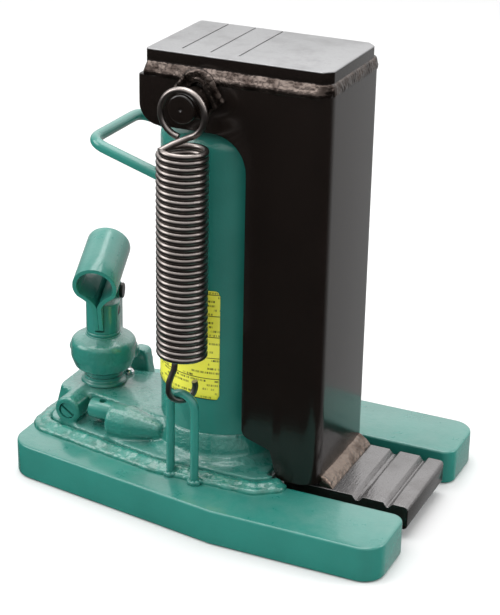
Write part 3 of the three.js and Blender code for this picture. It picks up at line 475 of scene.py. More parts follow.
def linear(red, green, blue):
    """A colour from 0 to 255 values as they are seen on a screen."""
    return tuple((c / 255 / 12.92) if c < 10.3 else ((c / 255 + 0.055) / 1.055) ** 2.4
                 for c in (red, green, blue)) + (1.0,)


def finish_from(group, name, inputs, bump, fixed):
    """A Principled material whose colour, roughness and bump come from a shared group."""
    material = bpy.data.materials.new(name)
    material.use_nodes = True
    nodes = Nodes(material.node_tree)
    surface = nodes.add("ShaderNodeGroup", node_tree=group)
    for label, value in inputs.items():
        surface.inputs[label].default_value = value
    raised = nodes.add("ShaderNodeBump", {"Height": surface.outputs["Height"], "Strength": bump[0],
                                          "Distance": bump[1]})
    shader = nodes.add("ShaderNodeBsdfPrincipled", {"Base Color": surface.outputs["Colour"],
                                                    "Roughness": surface.outputs["Roughness"],
                                                    "Normal": raised.outputs["Normal"], **fixed})
    nodes.add("ShaderNodeOutputMaterial", {"Surface": shader.outputs[0]})
    return material


paint = paint_group()
steel = steel_group()
weld = weld_group()


def painted(name, colour, dust_and_sheen_colour, dust_and_sheen, roughness, bump, coat=(0.0, 0.03)):
    """Paint. The bump is a strength and a distance, and the coat a weight and a roughness."""
    inputs = {"Colour": linear(*colour), "Dust And Sheen Colour": linear(*dust_and_sheen_colour), "Dust And Sheen": dust_and_sheen,
              "Roughness": roughness}
    return finish_from(paint, name, inputs, bump, {"Coat Weight": coat[0], "Coat Roughness": coat[1]})


def bare(name, colour, stain_colour, stretch, roughness, bump, metallic=1.0):
    """Metal with fine marks, drawn out along an axis where its part of the stretch is under 1."""
    inputs = {"Colour": linear(*colour), "Stain Colour": linear(*stain_colour), "Stretch": stretch,
              "Roughness": roughness}
    return finish_from(steel, name, inputs, bump, {"Metallic": metallic})


def welded(name, colour, burnt_colour, roughness, bump, fixed):
    inputs = {"Colour": linear(*colour), "Burnt Colour": linear(*burnt_colour), "Roughness": roughness}
    return finish_from(weld, name, inputs, bump, fixed)


# Each paint's lighter colour on what faces up is partly dust and partly a painted sheen.
green = painted("green_paint", (44, 134, 122), (130, 162, 154), dust_and_sheen=0.25, roughness=0.27,
                bump=(0.25, 0.0006), coat=(0.6, 0.12))
green_cast = painted("green_paint_on_casting", (42, 130, 117), (150, 184, 180), dust_and_sheen=0.5, roughness=0.24,
                     bump=(0.5, 0.0012), coat=(0.7, 0.1))
green_weld = welded("green_paint_on_weld", (46, 136, 122), (38, 118, 104), roughness=0.16,
                    bump=(0.35, 0.0008), fixed={"Coat Weight": 0.8, "Coat Roughness": 0.08})
black = painted("black_paint", (24, 18, 15), (60, 56, 54), dust_and_sheen=0.2, roughness=0.2,
                bump=(0.12, 0.0005), coat=(0.15, 0.08))
# The grey on the head plate's top is a painted reflection: the real plate is black paint all over, and its
# top reflects the light above.
plate_top_painted_reflection = bare("grey_plate", (150, 150, 151), (92, 90, 90), (0.25, 1.0, 1.0), roughness=0.34,
                   bump=(0.25, 0.0004), metallic=0.75)
# The grey on the toe's lands is a painted reflection in the same way: the real toe is black paint all over.
toe_top_painted_reflection = bare("toe_lands_grey_painted_reflection", (122, 120, 120), (78, 73, 70), (1.0, 0.2, 1.0), roughness=0.2,
                 bump=(0.3, 0.0005), metallic=0.8)
# Two copies of one weld finish: this darker one for the head and pin welds is painted shade.
weld_metal_painted_shade = welded("weld_metal_painted_shade", (84, 75, 70), (50, 42, 38), roughness=0.1,
                    bump=(0.4, 0.0007), fixed={"Metallic": 0.9})
# This lighter copy for the toe weld is painted light.
toe_weld_metal_painted_light = welded("toe_weld_metal_painted_light", (116, 103, 94), (80, 68, 60), roughness=0.12,
                        bump=(0.4, 0.0007), fixed={"Metallic": 0.9})
spring_steel = bare("spring_steel", (158, 150, 146), (108, 98, 92), (1.0, 1.0, 1.0), roughness=0.27,
                    bump=(0.1, 0.0003))
bright_steel = bare("bright_steel", (205, 205, 206), (170, 170, 170), (1.0, 1.0, 0.1), roughness=0.14,
                    bump=(0.06, 0.0002))
dark_steel = bare("dark_steel", (66, 64, 62), (36, 34, 33), (1.0, 1.0, 0.3), roughness=0.3,
                  bump=(0.15, 0.0003), metallic=0.85)
rubber = painted("seal_rubber", (26, 26, 27), (70, 70, 68), dust_and_sheen=0.3, roughness=0.6, bump=(0.2, 0.0002))
bronze = bare("bronze", (176, 140, 84), (120, 90, 52), (1.0, 1.0, 0.2), roughness=0.25, bump=(0.1, 0.0002))


def label_finish():
    """Yellow film with small print."""
    material = bpy.data.materials.new("label")
    material.use_nodes = True
    nodes = Nodes(material.node_tree)
    ink = nodes.add("ShaderNodeGroup", node_tree=print_group())
    ink.inputs["Row Pitch"].default_value = 2.6
    ink.inputs["Rule Pitch"].default_value = 13.0
    colour = nodes.mix(ink.outputs["Ink"], linear(246, 244, 78), linear(30, 32, 24))
    shader = nodes.add("ShaderNodeBsdfPrincipled", {"Base Color": colour, "Roughness": 0.35})
    nodes.add("ShaderNodeOutputMaterial", {"Surface": shader.outputs[0]})
    return material


# ---------------------------------------------------------------- base


def base_plate():
    shape = outline(both_sides([
        (plate_low.x, 62, 17), (21.5, plate_high.y), (plate_high.x, plate_high.y, 13),
        (plate_high.x, SLOT_HALF, 8), (SLOT_END, SLOT_HALF),
    ]), 10)
    solid = softened(prism(shape, plate_low.z, plate_high.z), 1.5, 3, over=50)
    piece("base_plate", solid, green, "base")


def foot_outline(grow):
    """The casting's foot, from the slot's far side round the rear to its near side, grown outwards."""
    return both_sides([
        (casting_low.x - grow, 33 + grow, 12), (-28, 50 + grow, 20), (32 + grow / 2, 49 + grow, 6),
        (41 + grow, 43 + grow / 2, 3), (41 + grow, SLOT_HALF), (SLOT_END, SLOT_HALF),
    ])


def plateau_outline(grow):
    return outline(both_sides([
        (casting_low.x + 1 - grow, 20 + grow, 6), (-86, 20 + grow, 10), (-50, 26 + grow), (-14, 36 + grow),
    ]))


def base_casting():
    low = plate_top - 1.2
    collar_top = CASTING_TOP + 0.5
    deck = prism(outline(foot_outline(0.0)), low, plate_top + 5.7)
    plateau = prism(plateau_outline(4), low, CASTING_TOP, top_points=plateau_outline(0))
    collar = turned([(0, low), (50.3, low), (50.3, 26), (46.3, 29.5), (43.4, 30.5), (42.3, 34.5),
                     (39, collar_top), (0, collar_top)])
    relief = moved(turned(outline([(0, -36), (8.4, -36, 1.2), (8.4, -8), (0, -8)]), 32), turn_about("X", -90))
    release = moved(turned(outline([(0, 0), (10.4, 0, 1.5), (10.4, 12, 8), (4.5, 34), (0, 34)]), 32),
                    turn_about("Y", 90))
    lug = prism(outline([
        (-96, 26), (-67, 26), (-73, 33, 6), (-76, 54, 4), (-86, 54, 4), (-88, 34, 6),
    ], 4), 25.5, 34.5, across=True)
    relief_place = at(relief_x, 0, RELIEF_Z)
    whole = merged(deck, plateau, moved(collar, at(cylinder_x)), moved(relief, relief_place),
                   moved(release, at(-68, -33, 35)), lug)
    stem_place = at(-60, RELEASE_Y, RELEASE_Z) @ turn_about("Y", 90)
    holes = [
        moved(rod(RELIEF_RADIUS + 0.3, -50, -24, 32), relief_place @ turn_about("X", -90)),
        moved(rod(6.6, -30, -8, 32), stem_place),
        moved(rod(4.3, -12, 4, 32), stem_place),
    ]
    solid = shaped(whole, holes, voxel=0.95, passes=7)
    piece("base_casting", solid, green_cast, "base")


def base_weld():
    beads = []
    for grow, height, radius in ((2.4, 0.9, 4.2), (6.2, 0.1, 3.0)):
        path = [Vector((p.x, p.y, plate_top + height)) for p in outline(foot_outline(grow)[1:-1])]
        beads.append(bead(path, radius, pitch=5.5, up=Vector((0, 0, 1)), seed=grow))
    solid = shaped(merged(*beads), voxel=0.9, passes=5)
    piece("base_weld", solid, green_weld, "base", smooth=60)


# ---------------------------------------------------------------- cylinder


def jack_cylinder():
    inner = cylinder_radius - 5
    mouth = gland_high.x - cylinder_x + 0.3
    profile = outline([
        (inner, cylinder_low.z), (cylinder_radius, cylinder_low.z), (cylinder_radius, cylinder_top, 10.3),
        (mouth, cylinder_top), (mouth, cylinder_top - 14), (inner, cylinder_top - 18),
        (inner, cylinder_low.z),
    ], 10)
    piece("jack_cylinder", moved(turned(profile, 128), at(cylinder_x)), green, "base")


def cylinder_gland():
    low, high = gland_low.z, gland_high.z
    outer = gland_high.x - cylinder_x
    bore = RAM_RADIUS + 0.3
    seat = RAM_RADIUS + 4
    profile = outline([
        (bore, low), (outer, low), (outer, high, 1.2), (seat, high),
        (seat, high - 5), (bore, high - 5), (bore, low),
    ], 4)
    solid = moved(turned(profile, 96), at(cylinder_x))
    spanner_holes = [moved(rod(1.6, high - 3, high + 3, 16),
                           at(cylinder_x) @ turn_about("Z", angle) @ at(24.4)) for angle in (30, 150, 270)]
    piece("cylinder_gland", shaped(solid, spanner_holes), dark_steel, "base")


def ram_rod():
    low, high = ram_low.z, ram_high.z
    piston = (ram_high.x - ram_low.x) / 2
    groove = 18.5
    profile = outline([
        (0, low), (piston, low, 0.6), (piston, low + 3), (groove, low + 3), (groove, low + 7),
        (piston, low + 7), (piston, low + 10), (groove, low + 10), (groove, low + 16), (piston, low + 16),
        (piston, low + 18, 0.6), (RAM_RADIUS, low + 18), (RAM_RADIUS, high, 1), (0, high),
    ], 3)
    piece("ram", moved(turned(profile, 96), at(cylinder_x)), bright_steel, "lifting_frame")


def carrying_handle():
    thickness, fall = 3.3, 17.4
    root_side, grip_side = 32, 31
    grip_x, grip_z = handle_low.x + thickness, handle_high.z - thickness
    root_x, root_z = -29.5, grip_z - fall
    corners = [Vector((root_x + 8, -root_side, root_z)), Vector((grip_x, -grip_side, grip_z)),
               Vector((grip_x, grip_side, grip_z)), Vector((root_x + 8, root_side, root_z))]
    bar = swept(spaced(bent(corners, 11), 3), thickness, 20)
    welds = []
    for side in (-1, 1):
        ring = [Vector((0, 3.9 * math.cos(a), 3.9 * math.sin(a))) for a in full_turn(24)]
        weld_place = at(root_x - 0.6, side * root_side, root_z - 0.8)
        welds.append(moved(bead(ring, 1.7, pitch=2.4, seed=side), weld_place))
    cylinder = moved(rod(cylinder_radius + 0.05, 0, 260, 96), at(cylinder_x))
    solid = shaped(merged(bar, *welds), [cylinder])
    piece("carrying_handle", solid, green, "base")


def data_label():
    """A film with rounded corners that wraps the cylinder, with its UV in millimetres."""
    radius = cylinder_radius + 0.28
    low, high = label_low.z, label_high.z
    first, last = math.radians(-165), math.radians(-70)
    corner = 3.0
    length = radius * (last - first)
    columns, rows = 64, 16
    film = bmesh.new()
    uv = film.loops.layers.uv.new("UVMap")
    grid, places = [], {}
    for i in range(columns + 1):
        along = length * i / columns
        from_end = min(along, length - along)
        trim = corner - math.sqrt(max(0.0, corner**2 - max(0.0, corner - from_end) ** 2))
        angle = first + along / radius
        column = []
        for j in range(rows + 1):
            z = low + trim + (high - low - 2 * trim) * j / rows
            vert = film.verts.new((cylinder_x + radius * math.cos(angle), radius * math.sin(angle), z))
            places[vert] = (along, z - low)
            column.append(vert)
        grid.append(column)
    for i in range(columns):
        for j in range(rows):
            face = film.faces.new((grid[i][j], grid[i + 1][j], grid[i + 1][j + 1], grid[i][j + 1]))
            for loop in face.loops:
                loop[uv].uv = places[loop.vert]
    made = piece("data_label", film, label_finish(), "base")
    thick = made.modifiers.new("film", "SOLIDIFY")
    thick.thickness = 0.2 * MM
    thick.offset = 1.0


# ---------------------------------------------------------------- lifting frame


def lifting_column():
    half = column_high.y
    inner = half - COLUMN_WALL
    inside = column_high.x - COLUMN_WALL
    rear, front = column_low.x, column_high.x
    low, top = column_low.z, column_high.z
    plan = outline([
        (rear - 5, -half), (front, -half, 11), (front, half, 11), (rear - 5, half), (rear - 5, inner),
        (inside, inner, 3), (inside, -inner, 3), (rear - 5, -inner),
    ], 12)
    cheek = outline([
        (rear, top), (rear, 224, 12), (19.5, 224, 20), (19.5, low + 23.2, 6), (37.4, low + 17.6, 2),
        (41.5, low + 2, 2), (44, low), (front, low), (front, top),
    ], 10)
    channel = prism(plan, low - 1, top + 1)
    solid = shaped(channel, [prism(cheek, -100, 100, across=True)], "INTERSECT")
    softened(solid, 0.9, 3, over=50)
    piece("lifting_column", solid, black, "lifting_frame", smooth=30)


def head_plate():
    half = (head_high.y - head_low.y) / 2
    rear, front = head_low.x, head_high.x
    plan = outline([
        (rear, -half, 2), (front - 5, -half, 2), (front, -half + 5, 2), (front, half - 5, 2),
        (front - 5, half, 2), (rear, half, 2),
    ], 4)
    top = head_high.z
    plate = softened(prism(plan, head_low.z, top), 0.7, 3, over=50,
                     where=lambda e: min(v.co.z for v in e.verts) > top - 1)
    grooves = []
    for run in (-16, 1, 17.7):
        x = cylinder_x + run
        shape = outline([
            (x - 0.7, top + 2), (x - 0.45, top - 0.5), (x + 0.45, top - 0.5), (x + 0.7, top + 2),
        ])
        grooves.append(prism(shape, -26, 60, across=True))
    # The top keeps the grey painted reflection; paint_sides puts black on the sides.
    made = piece("head_plate", shaped(plate, grooves), plate_top_painted_reflection, "lifting_frame", smooth=25)
    paint_sides(made, top - 1)


def paint_sides(made, painted_reflection_from):
    """Black paint on the faces that don't look up and lie below a given height; the rest keep the first
    material, a grey that is a painted reflection of the light above on what is really black paint all over.
    """
    made.data.materials.append(black)
    for face in made.data.polygons:
        painted = face.normal.z < 0.6 and face.center.z < painted_reflection_from * MM
        face.material_index = 1 if painted else 0


def head_weld():
    """Three passes of weld round the head plate's sides and front, over the column's top edge."""
    beads = []
    passes = ((1.9, 0.7, 2.6, 9, 0.0), (3.6, 2.6, 2.5, 7, 3.0), (4.9, 4.3, 2.2, 5, 5.0))
    rear = head_low.x + 1.5
    for inset, height, radius, corner, seed in passes:
        half = column_high.y - inset
        front = column_high.x - inset + 2.6 * (inset - 1.9) / 3
        path = outline([(rear, -half), (front, -half, corner), (front, half, corner), (rear, half)])
        line = [Vector((p.x, p.y, head_bottom + height)) for p in path]
        beads.append(bead(line, radius, pitch=3.0, up=Vector((0, 0, 1)), seed=seed))
    solid = shaped(merged(*beads), voxel=0.6, passes=5)
    piece("head_weld", solid, weld_metal_painted_shade, "lifting_frame", smooth=60)


def spring_pin(name, side):
    length = pin_high.y - pin_low.y
    profile = outline([
        (0, 0), (pin_radius, 0), (pin_radius, length, 1.2), (1.3, length), (0.5, length - 1),
        (0, length - 1.2),
    ], 4)
    place = at(cylinder_x, -side * pin_high.y, pin_z) @ turn_about("X", -90 * side)
    piece(name, moved(turned(profile, 48), place), black, "lifting_frame")


def pin_weld(name, side):
    """Two runs of weld over the pin like a roof, and a thin bead under it."""
    start = column_high.y
    roof = [(-12.5, 4), (-3, 15.5), (5, 15.2), (15, 0)]
    runs = []
    for drop, radius in ((0, 2.6), (3.2, 2.4)):
        corners = [Vector((x * (1 - drop / 16), side * (start + 1.0), z - drop)) for x, z in roof]
        runs.append(bead(bent(corners, 4), radius, pitch=3.4, seed=side + drop))
    angles = [math.radians(200 + 140 * k / 40) for k in range(41)]
    under = [Vector((9.2 * math.cos(a), side * (start + 0.5), 9.2 * math.sin(a))) for a in angles]
    solid = shaped(merged(*runs, bead(under, 1.5, pitch=2.6, seed=side)), voxel=0.5, passes=4)
    placed = moved(solid, at(cylinder_x, 0, pin_z))
    piece(name, placed, weld_metal_painted_shade, "lifting_frame", smooth=60)


def toe_plate():
    front_face = column_high.x
    rear, tip = toe_low.x, toe_high.x
    low = toe_low.z
    depth = 2.8
    corners = [(rear, low), (tip, low, 2.5), (tip, TOE_TOP, 2.2)]
    for start, end in ((38.4, 43.8), (19.5, 26.0)):
        corners += [(front_face + end, TOE_TOP, 1.2), (front_face + end - 2.2, TOE_TOP - depth, 0.9),
                    (front_face + start + 2.2, TOE_TOP - depth, 0.4), (front_face + start, TOE_TOP, 0.8)]
    corners.append((rear, TOE_TOP))
    plate = softened(prism(outline(corners, 3), toe_low.y, toe_high.y, across=True), 1.0, 3, over=60)
    wall = front_face - COLUMN_WALL
    shelf = block(wall, front_face, 20, column_low.z, -UPSTAND_HALF, UPSTAND_HALF, across=True)
    upstand = block(rear + 2.1, wall - 0.05, 19, toe_high.z, -UPSTAND_HALF, UPSTAND_HALF, across=True)
    softened(upstand, 1.0)
    # The lands keep the grey painted reflection; paint_sides puts black on the sides below them.
    made = piece("toe_plate", merged(plate, shelf, upstand), toe_top_painted_reflection, "lifting_frame")
    paint_sides(made, TOE_TOP - depth - 0.2)


def toe_weld():
    """One broad, nearly flat run of weld in the corner between the toe and the front wall."""
    wall, reach, rise = column_high.x - 1, 8.6, 6.6
    run = prism(outline([
        (wall, TOE_TOP - 1), (wall + reach, TOE_TOP - 1), (wall + reach, TOE_TOP + 0.5, 0.4),
        (wall + reach * 0.62, TOE_TOP + rise * 0.6, 6), (wall + 1.4, TOE_TOP + rise, 0.4),
        (wall, TOE_TOP + rise),
    ], 6), toe_low.y + 0.6, toe_high.y - 0.6, across=True)
    ends = [bead([Vector((wall + 6, y, TOE_TOP + 0.8)), Vector((wall + 1.6, y, TOE_TOP + 4.4))], 2.2, seed=y)
            for y in (toe_low.y + 2.4, toe_high.y - 2.4)]
    piece("toe_weld", shaped(merged(run, *ends), voxel=0.55, passes=6), toe_weld_metal_painted_light, "lifting_frame",
          smooth=60)


# ---------------------------------------------------------------- return springs


def spring_anchor(name, side):
    thickness, half_span = 2.5, 8.6
    line_z = anchor_high.z - thickness - half_span
    path = [Vector((-half_span, 0, plate_top))]
    for k in range(25):
        angle = math.pi - math.pi * k / 24
        path.append(Vector((half_span * math.cos(angle), 0, line_z + half_span * math.sin(angle))))
    path.append(Vector((half_span, 0, plate_top)))
    feet = []
    for end in (-1, 1):
        ring = [Vector((3.0 * math.cos(a), 3.0 * math.sin(a), 1.1)) for a in full_turn(20)]
        foot = bead(ring, 1.7, pitch=2.2, lump=0.2, seed=end + side)
        feet.append(moved(foot, at(end * half_span, 0, plate_top)))
    solid = merged(swept(spaced(path, 2.5), thickness, 20), *feet)
    turn = turn_about("Z", 11 * side)
    piece(name, moved(solid, at(cylinder_x + 0.5, side * (SPRING_SIDE - 0.1)) @ turn), green, "base")


def return_spring(name, side):
    """Close coils with a hook round the anchor below and a round loop on the pin above."""
    wire, coil, hook, loop = 1.8, 12.7, 8.0, 13.0
    coil_low, coil_high, turns, per_turn = 98.5, 220.0, 33, 26
    hook_turn = math.radians(-135 * side)
    hook_line = Vector((-math.sin(hook_turn), math.cos(hook_turn), 0))
    hook_centre = Vector((0, 0, spring_low.z + wire + hook))
    path = []
    for k in range(21):
        angle = math.radians(20 - 190 * k / 20)
        round_hook = hook_line * math.cos(angle) + Vector((0, 0, math.sin(angle)))
        path.append(hook_centre + round_hook * hook)
    for reach, rise in ((7.6, 4), (6.2, 8), (4.4, 12)):
        path.append(hook_centre - hook_line * reach + Vector((0, 0, rise)))
    for k in range(turns * per_turn + 1):
        angle = -math.pi / 2 + hook_turn - 2 * math.pi * k / per_turn
        radius = coil * min(1, 0.3 + 1.4 * k / per_turn)
        height = coil_low + (coil_high - coil_low) * k / (turns * per_turn)
        path.append(Vector((radius * math.cos(angle), radius * math.sin(angle), height)))
    loop_centre = pin_z + pin_radius + 0.3 + wire - loop
    last = path[-1]
    for k in range(41):
        angle = -math.pi / 2 - math.radians(350) * k / 40
        on_loop = Vector((loop * math.cos(angle), 0, loop_centre + loop * math.sin(angle)))
        if k > 1:
            path.append(on_loop)
        elif k == 1:
            path.append(last.lerp(on_loop, 0.5))
    bar = swept(path, wire, 10)
    turn = turn_about("Z", 180 if side < 0 else 0)
    made = piece(name, moved(bar, at(cylinder_x, side * SPRING_SIDE) @ turn), spring_steel, None,
                 smooth=80)
    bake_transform(made)


# ---------------------------------------------------------------- pump

HEAD_YAW = -74  # degrees from +X to the lever socket's mouth
FULCRUM = Vector((-16.5, 0, 95))  # from the pump's axis, with +X towards the mouth
LEVER_TILT = 17  # degrees the socket's mouth points down
SCREW_ANGLES = (-100, 100, 180)
SCREW_Z = 62.0
CROSS_PIN_Z = 89.0


def at_pump(solid):
    """Places a piece made about the pump's axis, with +X towards the lever socket's mouth."""
    return moved(solid, at(pump_x) @ turn_about("Z", HEAD_YAW))


def screw_place(angle):
    """Where a swivel screw lies: its axis is turned from upright to point outwards at the given angle."""
    return turn_about("Z", angle) @ at(0, 0, SCREW_Z) @ turn_about("Y", 90)


def pump_barrel():
    bore, low = 7.3, barrel_low.z
    flange = CASTING_TOP + 0.2
    profile = outline([
        (bore, low), (9.5, low), (9.5, flange), (14.5, flange, 0.6), (13.6, 44, 1.2), (12, 45.2, 1),
        (12, 47), (11, 47), (11, 58), (9.2, 58), (9.2, 66), (11, 66), (11, 74, 0.5), (bore, 74),
        (bore, low),
    ], 4)
    piece("pump_barrel", moved(turned(profile, 64), at(pump_x)), green, "base")


def pump_swivel():
    low, top = 50.2, 73.4
    profile = outline([
        (0, low), (13.4, low, 0.8), (17.6, low + 3.0, 3), (20, low + 9.5, 6), (19.8, top - 3.2, 4.6),
        (12, top - 0.4), (11.4, top), (0, top),
    ], 6)
    ring = turned(profile, 96)
    rear = FULCRUM.x
    bracket = prism(outline([
        (rear - 5.5, 60), (rear + 5.5, 60), (rear + 5.5, 100.5, 5.4), (rear - 5.5, 100.5, 5.4),
    ], 8), -7.3, 7.3, across=True)
    boss = outline([(0, 10), (4.6, 10), (4.6, 20.6, 0.9), (0, 20.6)], 4)
    bosses = [moved(turned(boss, 32), screw_place(angle)) for angle in SCREW_ANGLES]
    slot = block(rear - 20, rear + 30, 76, 120, -2.8, 2.8, across=True)
    head_room = rod(10.7, top, 130, 48)
    screw_holes = [moved(rod(2.8, 15, 40), screw_place(angle)) for angle in SCREW_ANGLES]
    solid = shaped(merged(ring, bracket, *bosses), [slot, head_room, *screw_holes], voxel=0.55, passes=5)
    piece("pump_swivel", at_pump(solid), green_cast, "pump_head")


def swivel_screw(name, angle):
    """A grub screw with a hexagon socket, in the swivel's side."""
    shank = turned(outline([(0, 10), (2.5, 10), (2.5, 21.7, 0.5), (0, 21.7)], 4), 32)
    solid = moved(shaped(shank, [rod(1.25, 19.5, 25, 6)]), screw_place(angle))
    piece(name, at_pump(solid), green, "pump_head")


def pump_plunger():
    low, top = plunger_high.z - 21.2, plunger_high.z
    profile = outline([
        (0, plunger_low.z), (7, plunger_low.z, 0.6), (7, low), (10.35, low, 1.0), (10.35, low + 1.6, 0.4),
        (10.0, low + 2.0), (10.0, low + 2.4), (10.35, low + 2.8, 0.4), (10.35, top, 1.0), (0, top),
    ], 4)
    slot = block(-20, 20, top - 17.2, top + 9, -2.7, 2.7, across=True)
    cross_hole = moved(rod(3.2, -20, 20), at(0, 0, CROSS_PIN_Z) @ turn_about("X", 90))
    solid = softened(shaped(turned(profile, 80), [slot, cross_hole]), 0.35, 2, over=50,
                     where=lambda e: min(v.co.z for v in e.verts) > low + 1)
    piece("pump_plunger", at_pump(solid), green, "plunger")


def plunger_pin():
    pin = turned(outline([(0, -9.7), (2.8, -9.7, 0.5), (2.8, 9.7, 0.5), (0, 9.7)], 3), 32)
    solid = moved(pin, at(0, 0, CROSS_PIN_Z) @ turn_about("X", 90))
    piece("plunger_pin", at_pump(solid), dark_steel, "plunger")


def fulcrum_pin():
    profile = outline([(0, -9.3), (4.8, -9.3, 0.7), (4.8, -7.6), (3.2, -7.6), (3.2, 8.8, 0.6), (0, 8.8)], 4)
    solid = moved(turned(profile, 32), at(FULCRUM.x, 0, FULCRUM.z) @ turn_about("X", 90))
    piece("fulcrum_pin", at_pump(solid), dark_steel, "pump_head")


def lever_socket():
    """A sheet folded round the pump lever, closing to a two-leaf fin below that takes the pins."""
    sheet, tube, tube_rise = 2.5, 12.1, 27.0
    fin_side, fin_end, spread, turn_in = 1.35, -6.5, 32, 10.0
    rear, front = -9.5, 31.5

    def on_tube(degrees):
        angle = math.radians(degrees)
        return Vector((tube * math.cos(angle), tube_rise + tube * math.sin(angle)))

    def centre_line(fin_low):
        """The folded sheet's middle, from one leaf of the fin round the tube to the other."""
        half = [Vector((fin_side, fin_low + (turn_in - fin_low) * k / 4)) for k in range(5)]
        start, pull, neck = half[-1], Vector((fin_side, turn_in + 4.5)), on_tube(-spread)
        for k in range(1, 10):
            t = k / 10
            half.append(start * (1 - t) ** 2 + pull * (2 * t * (1 - t)) + neck * t**2)
        half += [on_tube(-spread + (90 + spread) * k / 24) for k in range(25)]
        return half + [Vector((-p.x, p.y)) for p in reversed(half[:-1])]

    def faces_of_sheet(s, fin_low):
        """The sheet's outer and inner face at one place along the tube, as two rows of corners."""
        line = centre_line(fin_low)
        outer, inner = [], []
        for i, p in enumerate(line):
            ahead = (line[min(i + 1, len(line) - 1)] - line[max(i - 1, 0)]).normalized()
            across_sheet = Vector((ahead.y, -ahead.x)) * (sheet / 2)
            outer.append(solid.verts.new((s, p.x + across_sheet.x, p.y + across_sheet.y)))
            inner.append(solid.verts.new((s, p.x - across_sheet.x, p.y - across_sheet.y)))
        return outer, inner

    solid = bmesh.new()
    stations = [(rear, 8.0), (-5.7, 6.2), (-5.2, -2.0), (-3.0, fin_end), (4.0, fin_end), (18.0, fin_end),
                (front, fin_end)]
    walls = [faces_of_sheet(s, fin_low) for s, fin_low in stations]
    count = len(walls[0][0])
    for (outer, inner), (next_outer, next_inner) in zip(walls, walls[1:]):
        for k in range(count - 1):
            solid.faces.new((outer[k], outer[k + 1], next_outer[k + 1], next_outer[k]))
            solid.faces.new((inner[k + 1], inner[k], next_inner[k], next_inner[k + 1]))
        for k in (0, count - 1):
            solid.faces.new((outer[k], next_outer[k], next_inner[k], inner[k]))
    for outer, inner in (walls[0], walls[-1]):
        for k in range(count - 1):
            solid.faces.new((outer[k], inner[k], inner[k + 1], outer[k + 1]))
    softened(solid, 0.55, 3, over=50)
    placed = moved(solid, at(FULCRUM.x, 0, FULCRUM.z) @ turn_about("Y", LEVER_TILT))
    piece("lever_socket", at_pump(placed), green, "lever", smooth=35)


# ---------------------------------------------------------------- valves and plug


def relief_valve_screw():
    start, end = relief_low.y, relief_high.y
    profile = outline([(0, start), (RELIEF_RADIUS, start, 0.5), (RELIEF_RADIUS, end), (0, end)], 4)
    body = moved(turned(profile, 48), turn_about("X", -90))
    slot = moved(block(-10, 10, start - 2, start + 2, -0.7, 0.7), turn_about("Y", 35))
    placed = moved(shaped(body, [slot]), at(relief_x, 0, RELIEF_Z))
    piece("relief_valve_screw", placed, green, "relief_screw")


def release_valve():
    knob, end = 15.7, 34.5
    profile = outline([
        (0, 0), (6, 0, 0.8), (6, knob, 0.8), (4, knob), (4, end - 2.5, 0.5), (1.5, end), (0, end),
    ], 4)
    stem = moved(turned(profile, 48), turn_about("Y", 90))
    cross_hole = moved(rod(2.3, -20, 20), at(knob / 2))
    placed = moved(shaped(stem, [cross_hole]), at(release_low.x, RELEASE_Y, RELEASE_Z))
    piece("release_valve", placed, green, "release_valve")


def oil_filler_plug():
    """A domed plug with a screwdriver cross."""
    low, high = plug_low.z, plug_high.z
    seat = CASTING_TOP + 0.1
    centre = ((plug_low.x + plug_high.x) / 2, (plug_low.y + plug_high.y) / 2)
    profile = outline([
        (0, low), (2.8, low), (2.8, seat), (4, seat), (4, seat + 1.6, 1.2), (2.6, high - 0.2, 1.0), (0, high),
    ], 5)
    bars = [block(-x, x, -y, y, high - 1.1, high + 1) for x, y in ((2.2, 0.35), (0.35, 2.2))]
    solid = moved(shaped(turned(profile, 48), bars), at(*centre))
    piece("oil_filler_plug", solid, bright_steel, "base")


# ---------------------------------------------------------------- assembly

base_plate()
base_casting()
base_weld()
jack_cylinder()
cylinder_gland()
ram_rod()
carrying_handle()
data_label()
lifting_column()
head_plate()
head_weld()
toe_plate()
toe_weld()
for side_name, side in (("near", -1), ("far", 1)):
    spring_pin("spring_pin_" + side_name, side)
    pin_weld("pin_weld_" + side_name, side)
    spring_anchor("spring_anchor_" + side_name, side)
    return_spring("return_spring_" + side_name, side)
pump_barrel()
pump_swivel()
for index, screw_angle in enumerate(SCREW_ANGLES):
    swivel_screw(f"swivel_screw_{index + 1}", screw_angle)
pump_plunger()
plunger_pin()
fulcrum_pin()
lever_socket()
relief_valve_screw()
release_valve()
oil_filler_plug()

PARTS_KEPT_AS_PACKED = (
    (bright_steel, ("pressure_cylinder", "suction_check_ball", "delivery_check_ball", "release_valve_ball",
                    "relief_valve_ball")),
    (rubber, ("wiper_seal", "plunger_seal", "piston_seal")),
    (bronze, ("guide_shoe", "piston_guide_ring")),
    (green, ("guide_post",)),
    (spring_steel, ("relief_valve_spring",)),
    (dark_steel, ("ram_saddle",)),
)
for look, parts in PARTS_KEPT_AS_PACKED:
    for part in parts:
        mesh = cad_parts[part].data
        mesh.materials.clear()
        mesh.materials.append(look)
        mesh.shade_smooth()
        mesh.set_sharp_from_angle(angle=math.radians(40))

# ---------------------------------------------------------------- floor, light and camera


def floor():
    ground = bmesh.new()
    bmesh.ops.create_grid(ground, x_segments=1, y_segments=1, size=6000)
    made = object_from("floor", moved(ground, at(0, 0, -0.2)))
    material = bpy.data.materials.new("floor")
    material.use_nodes = True
    surface = material.node_tree.nodes["Principled BSDF"]
    surface.inputs["Base Color"].default_value = (0.86, 0.86, 0.86, 1)
    surface.inputs["Roughness"].default_value = 0.9
    surface.inputs["Specular IOR Level"].default_value = 0.0
    made.data.materials.append(material)
    made.visible_glossy = False


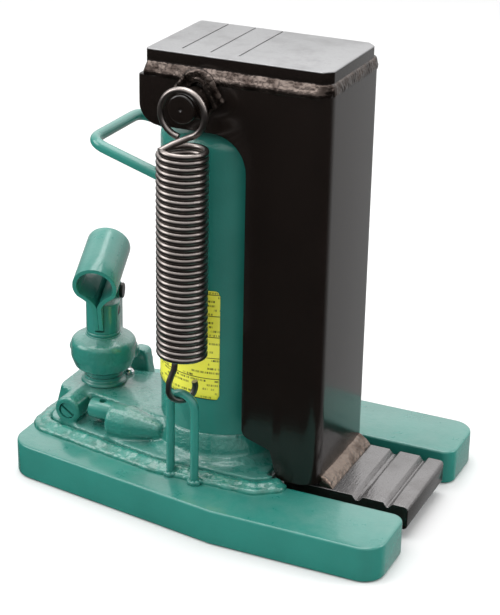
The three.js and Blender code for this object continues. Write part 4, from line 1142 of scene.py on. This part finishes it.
def surroundings():
    """White behind the object; what polished faces see is bright above and behind, and dark low in front."""
    world = bpy.data.worlds.new("studio")
    bpy.context.scene.world = world
    world.use_nodes = True
    nodes = Nodes(world.node_tree)
    way = nodes.add("ShaderNodeSeparateXYZ", {0: nodes.add("ShaderNodeTexCoord").outputs["Generated"]})
    behind = nodes.between(way.outputs["Y"], 0.3, 0.75, 0.03, 0.75)
    low_down = nodes.between(way.outputs["Z"], -0.5, 0.1, 0.5, 1.0)
    above = nodes.between(way.outputs["Z"], 0.05, 0.5, 0.0, 1.05)
    seen = nodes.math("ADD", nodes.math("MULTIPLY", behind, low_down), above)
    path = nodes.add("ShaderNodeLightPath")
    soft = nodes.mix(path.outputs["Is Glossy Ray"], (0.66, 0.66, 0.66, 1), seen)
    colour = nodes.mix(path.outputs["Is Camera Ray"], soft, (1.0, 1.0, 1.0, 1))
    shade = nodes.add("ShaderNodeBackground", {"Color": colour})
    nodes.add("ShaderNodeOutputWorld", {"Surface": shade.outputs[0]})


def soft_light(name, where, size, power):
    light = bpy.data.lights.new(name, "AREA")
    light.shape = "RECTANGLE"
    light.size, light.size_y = size
    light.energy = power
    made = bpy.data.objects.new(name, light)
    made.location = where
    made.rotation_mode = "QUATERNION"
    made.rotation_quaternion = (Vector((0, 0, 0.12)) - Vector(where)).to_track_quat("-Z", "Y")
    bpy.context.scene.collection.objects.link(made)


def camera():
    azimuth, elevation, roll = (math.radians(a) for a in (24.19, 23.45, 1.11))
    back = Vector((math.sin(azimuth) * math.cos(elevation), -math.cos(azimuth) * math.cos(elevation),
                   math.sin(elevation)))
    level = Vector((math.cos(azimuth), math.sin(azimuth), 0))
    upward = back.cross(level)
    right = level * math.cos(roll) + upward * math.sin(roll)
    up = upward * math.cos(roll) - level * math.sin(roll)
    lens = bpy.data.cameras.new("camera")
    lens.lens = 103.87
    lens.sensor_width = 36
    lens.clip_start, lens.clip_end = 0.01, 30
    made = bpy.data.objects.new("camera", lens)
    turn = Matrix((right, up, back)).transposed().to_4x4()
    made.matrix_world = Matrix.Translation(Vector((0.3922, -0.8593, 0.5176))) @ turn
    bpy.context.scene.collection.objects.link(made)
    bpy.context.scene.camera = made


floor()
surroundings()
soft_light("overhead", (-0.2, 0.1, 1.6), (1.6, 1.2), 22)
soft_light("left", (-1.3, -0.7, 0.9), (0.9, 0.9), 9)
soft_light("right", (1.2, 0.5, 0.9), (0.6, 1.0), 6)
camera()
bpy.context.scene.view_settings.view_transform = "Standard"
